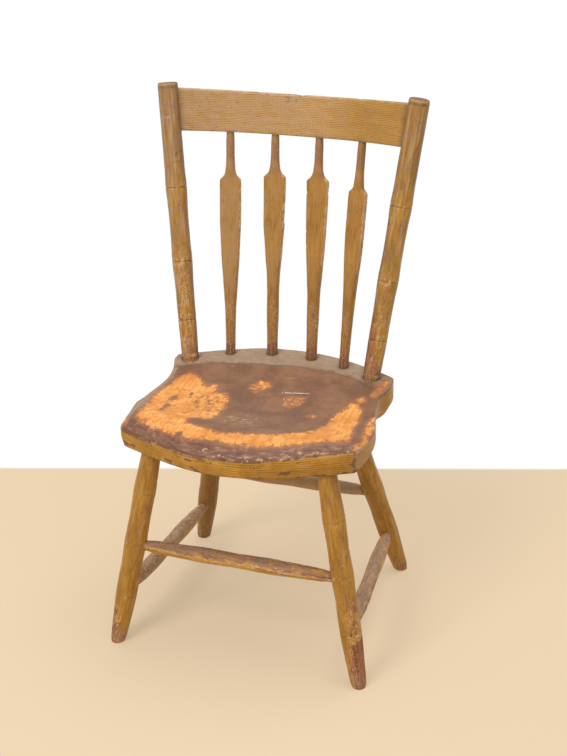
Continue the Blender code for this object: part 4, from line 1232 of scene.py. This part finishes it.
def make_spindle(row, seed, material):
    """One arrow spindle: a round foot, a flat paddle with crisp shoulders and a round neck."""
    name, across, place, foot, shoulder, widths, paddle = row
    base = on_seat(*place, DECK)
    top = crest_point(np.array(across), np.array(0.0), np.array(0.0))
    length = np.linalg.norm(top - base)
    thin, neck = PADDLE_HALF_THICKNESS, NECK_RADIUS
    rows = [(-0.030, foot, foot, 2.0), (0.040, foot, foot, 2.0),
            (0.120, foot * 1.05, foot * 1.05, 2.0), (0.200, foot * 1.13, foot * 1.13, 2.0)]
    rows += [(at, wide, thin * deep, power)
             for (at, deep, power), wide in zip(PADDLE_STATIONS, widths)]
    rows += [(shoulder - 0.006, paddle, thin, 7.0), (shoulder, paddle * 0.975, thin, 7.0),
             (shoulder + 0.006, paddle * 0.87, thin, 6.0),
             (shoulder + 0.014, paddle * 0.70, thin * 1.03, 4.5),
             (shoulder + 0.026, paddle * 0.54, thin * 1.10, 3.4),
             (shoulder + 0.046, neck * 1.18, neck * 0.90, 2.5),
             (shoulder + 0.075, neck * 1.06, neck * 0.98, 2.1),
             (shoulder + 0.105, neck, neck, 2.0), (0.960, neck * 0.98, neck * 0.98, 2.0),
             (1.004, neck * 0.90, neck * 0.90, 2.0)]
    rows = np.array(rows)
    at = np.concatenate([np.arange(-0.028, shoulder - 0.03, 0.0046),
                         np.arange(shoulder - 0.03, shoulder + 0.05, 0.0022),
                         np.arange(shoulder + 0.05, 1.0, 0.0046), [1.003]])
    wide, deep, power = (eased(rows[:, 0], rows[:, k], at) for k in (1, 2, 3))
    own = np.zeros((len(at), SPINDLE_SIDES, 3))
    for i in range(len(at)):
        own[i, :, :2] = spindle_section(wide[i], deep[i], power[i], SPINDLE_SIDES)
    own[:, :, 2] = (at * length)[:, None]
    uneven = 0.00020 * lumps(own * [1, 1, 0.5] + seed, 0.018, seed, 2)
    uneven += 0.00009 * lumps(own * [1, 1, 0.4] + seed, 0.004, seed + 1, 2)
    nick = np.maximum(lumps(own + 2.0 * seed, 0.009, seed + 2, 2) - 0.55, 0.0) * 0.0018
    radial = np.linalg.norm(own[:, :, :2], axis=2)
    arris = np.clip((radial - 0.865 * np.hypot(wide, deep)[:, None]) / 0.001, 0.0, 1.0)
    arris *= ramp(power, 3.0, 5.0)[:, None]
    change = uneven - nick * (0.3 + arris)
    own[:, :, :2] *= (1.0 + change / radial)[:, :, None]
    step = 0.01
    face = crest_point(np.array(across + step), 0.0, 0.0)
    face = face - crest_point(np.array(across - step), 0.0, 0.0)
    grid = base + own @ frame_of(base, top, face)
    grid, own = capped(grid), capped(own)
    arris = np.pad(arris, ((CAP_ROWS, CAP_ROWS), (0, 0)), mode="edge")
    normal = outward(grid)
    share = own[:, :, 2] / length
    right = ramp(own[:, :, 0], 0.0, 0.008)
    stream = lumps(own * [1, 1, 0.5] + 7.0 * seed, 0.02, seed + 5, 2)
    worn = 0.02 + 0.80 * ramp(share, 0.10, 0.02) + 0.04 * ramp(share, 0.42, 0.20)
    worn += 0.08 * stream * ramp(share, 0.5, 0.2) + 0.10 * arris
    red = 0.08 + 0.50 * ramp(share, 0.16, 0.03) + 0.46 * bell(share - 0.91, 0.08)
    red += 0.20 * arris * right + 0.26 * ramp(share, 0.35, 0.15) * (1.0 - right)
    if name == "spindle_inner_right":
        worn += 0.30 * bell(share - 0.20, 0.07)
        red += 0.20 * ramp(share, 0.40, 0.15) * ramp(stream, -0.3, 0.5)
        speck_low = 0.52
    else:
        speck_low = 0.48
    speck_and_highlight = 0.14 + 0.85 * speck_low * ramp(share, 0.50, 0.15) + 0.90 * arris * right + 0.20 * arris
    speck_and_highlight += 0.40 * bell(share - 0.93, 0.05)
    grime_and_shade = 0.8 * bell(own[:, :, 2], 0.0030) + 0.55 * ramp(share, 0.985, 1.0)
    grime_and_shade += 0.25 * bell(share - shoulder - 0.03, 0.02) + 0.30 * ramp(share, 0.86, 0.92)
    # Painted shade: the lower half darker where the surface turns sideways from the camera
    grime_and_shade += 0.10 * ramp(np.abs(normal @ TOWARD_CAMERA), 0.60, 0.15) * ramp(share, 0.50, 0.35)
    tone = 0.36 - 0.62 * across + 0.40 * ramp(share, 0.78, 0.88) - 0.30 * ramp(share, 0.45, 0.2)
    corner = arris * right * (own[:, :, 1] < 0.0)
    rub = 2.2 * corner * ramp(share, 0.20, 0.45) * RUBBED_ARRIS[name] - 0.5
    rub += 0.66 * ramp(share, 0.40, 0.20) * ramp(stream, -0.6, 0.3) * ramp(share, 0.05, 0.13)
    return build(name, grid, own, wear(worn, red, speck_and_highlight, tone, 0.12, grime_and_shade, rub), material)


# The floor and the light.

# The line where the pale floor meets the wall, in the chair's frame: a direction and a reach.
WALL_DIRECTION = np.array([-0.2704, 0.9627, 0.0])
WALL_REACH = 0.4585
FLOOR_COLOUR = (0.810, 0.640, 0.435, 1.0)
BEYOND_COLOUR = (0.90, 0.89, 0.87)
FLOOR_REACH = 14.0
HALF_LINE = 0.005
SHADOW_SOFTENING = 0.45
WORLD_LIGHT = 0.60
# Name, place, what it is turned toward, size and power.
LAMPS = (("key", (-1.1, -2.6, 2.9), (0.0, 0.0, 0.45), 1.5, 60.0),
         ("top", (0.5, 0.3, 3.1), (0.0, 0.0, 0.4), 2.0, 34.0))


def make_floor():
    """A plain pale floor, white beyond a line behind the chair."""
    mesh = bpy.data.meshes.new("floor")
    corners = [(x * FLOOR_REACH, y * FLOOR_REACH, 0)
               for x, y in ((-1, -1), (1, -1), (1, 1), (-1, 1))]
    mesh.from_pydata(corners, [], [(0, 1, 2, 3)])
    floor = put("floor", mesh)
    material = bpy.data.materials.new("floor")
    material.use_nodes = True
    n = Nodes(material.node_tree)
    shader = n.tree.nodes["Principled BSDF"]
    place = n.add("NewGeometry", {})["Position"]
    ahead = n.add("VectorMath", {0: place, 1: WALL_DIRECTION}, operation="DOT_PRODUCT")["Value"]
    line = WALL_REACH + float(WALL_DIRECTION @ SHIFT)
    far = n.step(ahead, line - HALF_LINE, line + HALF_LINE)
    for socket, value in (("Roughness", 0.9), ("Specular IOR Level", 0.1),
                          ("Base Color", n.mix(far, FLOOR_COLOUR, BEYOND_COLOUR))):
        n.feed(shader.inputs[socket], value)
    # A share of the floor's own colour, which is seen but lights nothing, softens the shadow
    seen = n.seen()
    lift = n.add("Emission", {"Color": FLOOR_COLOUR})[0]
    softened = n.over(n.times(seen, SHADOW_SOFTENING), shader.outputs[0], lift)
    white = n.add("Emission", {"Strength": 1.0})[0]
    n.feed(n.tree.nodes["Material Output"].inputs["Surface"],
           n.over(n.times(seen, far), softened, white))
    mesh.materials.append(material)


def make_world(strength):
    """Even pale light from all round, seen as white."""
    world = bpy.data.worlds.new("studio")
    world.use_nodes = True
    bpy.context.scene.world = world
    n = Nodes(world.node_tree)
    sky = n.tree.nodes["Background"]
    n.feed(sky.inputs["Color"], (1.0, 1.0, 1.0))
    n.feed(sky.inputs["Strength"], strength)
    white = n.add("Background", {"Color": (1.0, 1.0, 1.0)})[0]
    n.feed(n.tree.nodes["World Output"].inputs["Surface"], n.over(n.seen(), sky.outputs[0], white))


# The whole.

MUSTARD = old_paint("mustard_paint", (0.340, 0.156, 0.016), (0.490, 0.246, 0.038),
                    (0.170, 0.070, 0.012), (0.360, 0.185, 0.062), painted_sheen=0.14)
OCHRE = old_paint("ochre_paint", (0.330, 0.152, 0.016), (0.500, 0.255, 0.040),
                  (0.140, 0.058, 0.012), (0.350, 0.195, 0.082), painted_sheen=0.50, gloss=0.33)
PADDLES = old_paint("paddle_paint", (0.340, 0.155, 0.017), (0.460, 0.228, 0.034),
                    (0.180, 0.078, 0.016), (0.420, 0.238, 0.090), 0.26, painted_sheen=0.10, gloss=0.36)
COMBED = old_paint("combed_ochre_paint", (0.480, 0.250, 0.044), (0.560, 0.305, 0.062),
                   (0.230, 0.105, 0.022), (0.600, 0.405, 0.250), comb=0.90, mottled=0.28)
RUBBED = old_paint("rubbed_paint", (0.400, 0.182, 0.024), (0.560, 0.288, 0.055),
                   (0.180, 0.080, 0.020), (0.440, 0.250, 0.125))

make_camera()
make_seat(seat_paint())
seed = 40
for side, side_name in ((-1.0, "left"), (1.0, "right")):
    for is_front, end_name in ((True, "front"), (False, "rear")):
        seed += 10
        make_leg("leg_" + end_name + "_" + side_name, side, is_front, seed, MUSTARD)
    seed += 10
    make_post("post_" + side_name, side, seed, OCHRE)
    seed += 10
    front_share, rear_share = STRETCHER_HEIGHTS["side"]
    make_stretcher("stretcher_" + side_name, along_leg(side, True, front_share),
                   along_leg(side, False, rear_share), STRETCHER_RINGS["side"], seed, RUBBED)
for is_front, end_name in ((True, "front"), (False, "rear")):
    seed += 10
    left_share, right_share = STRETCHER_HEIGHTS[end_name]
    make_stretcher("stretcher_" + end_name, along_leg(-1.0, is_front, left_share),
                   along_leg(1.0, is_front, right_share), STRETCHER_RINGS[end_name], seed, RUBBED)
make_crest(COMBED)
for spindle_row in SPINDLES:
    seed += 10
    make_spindle(spindle_row, seed, PADDLES)

make_floor()
make_world(WORLD_LIGHT)
for lamp in LAMPS:
    make_lamp(*lamp)
bpy.context.scene.view_settings.view_transform = "Standard"
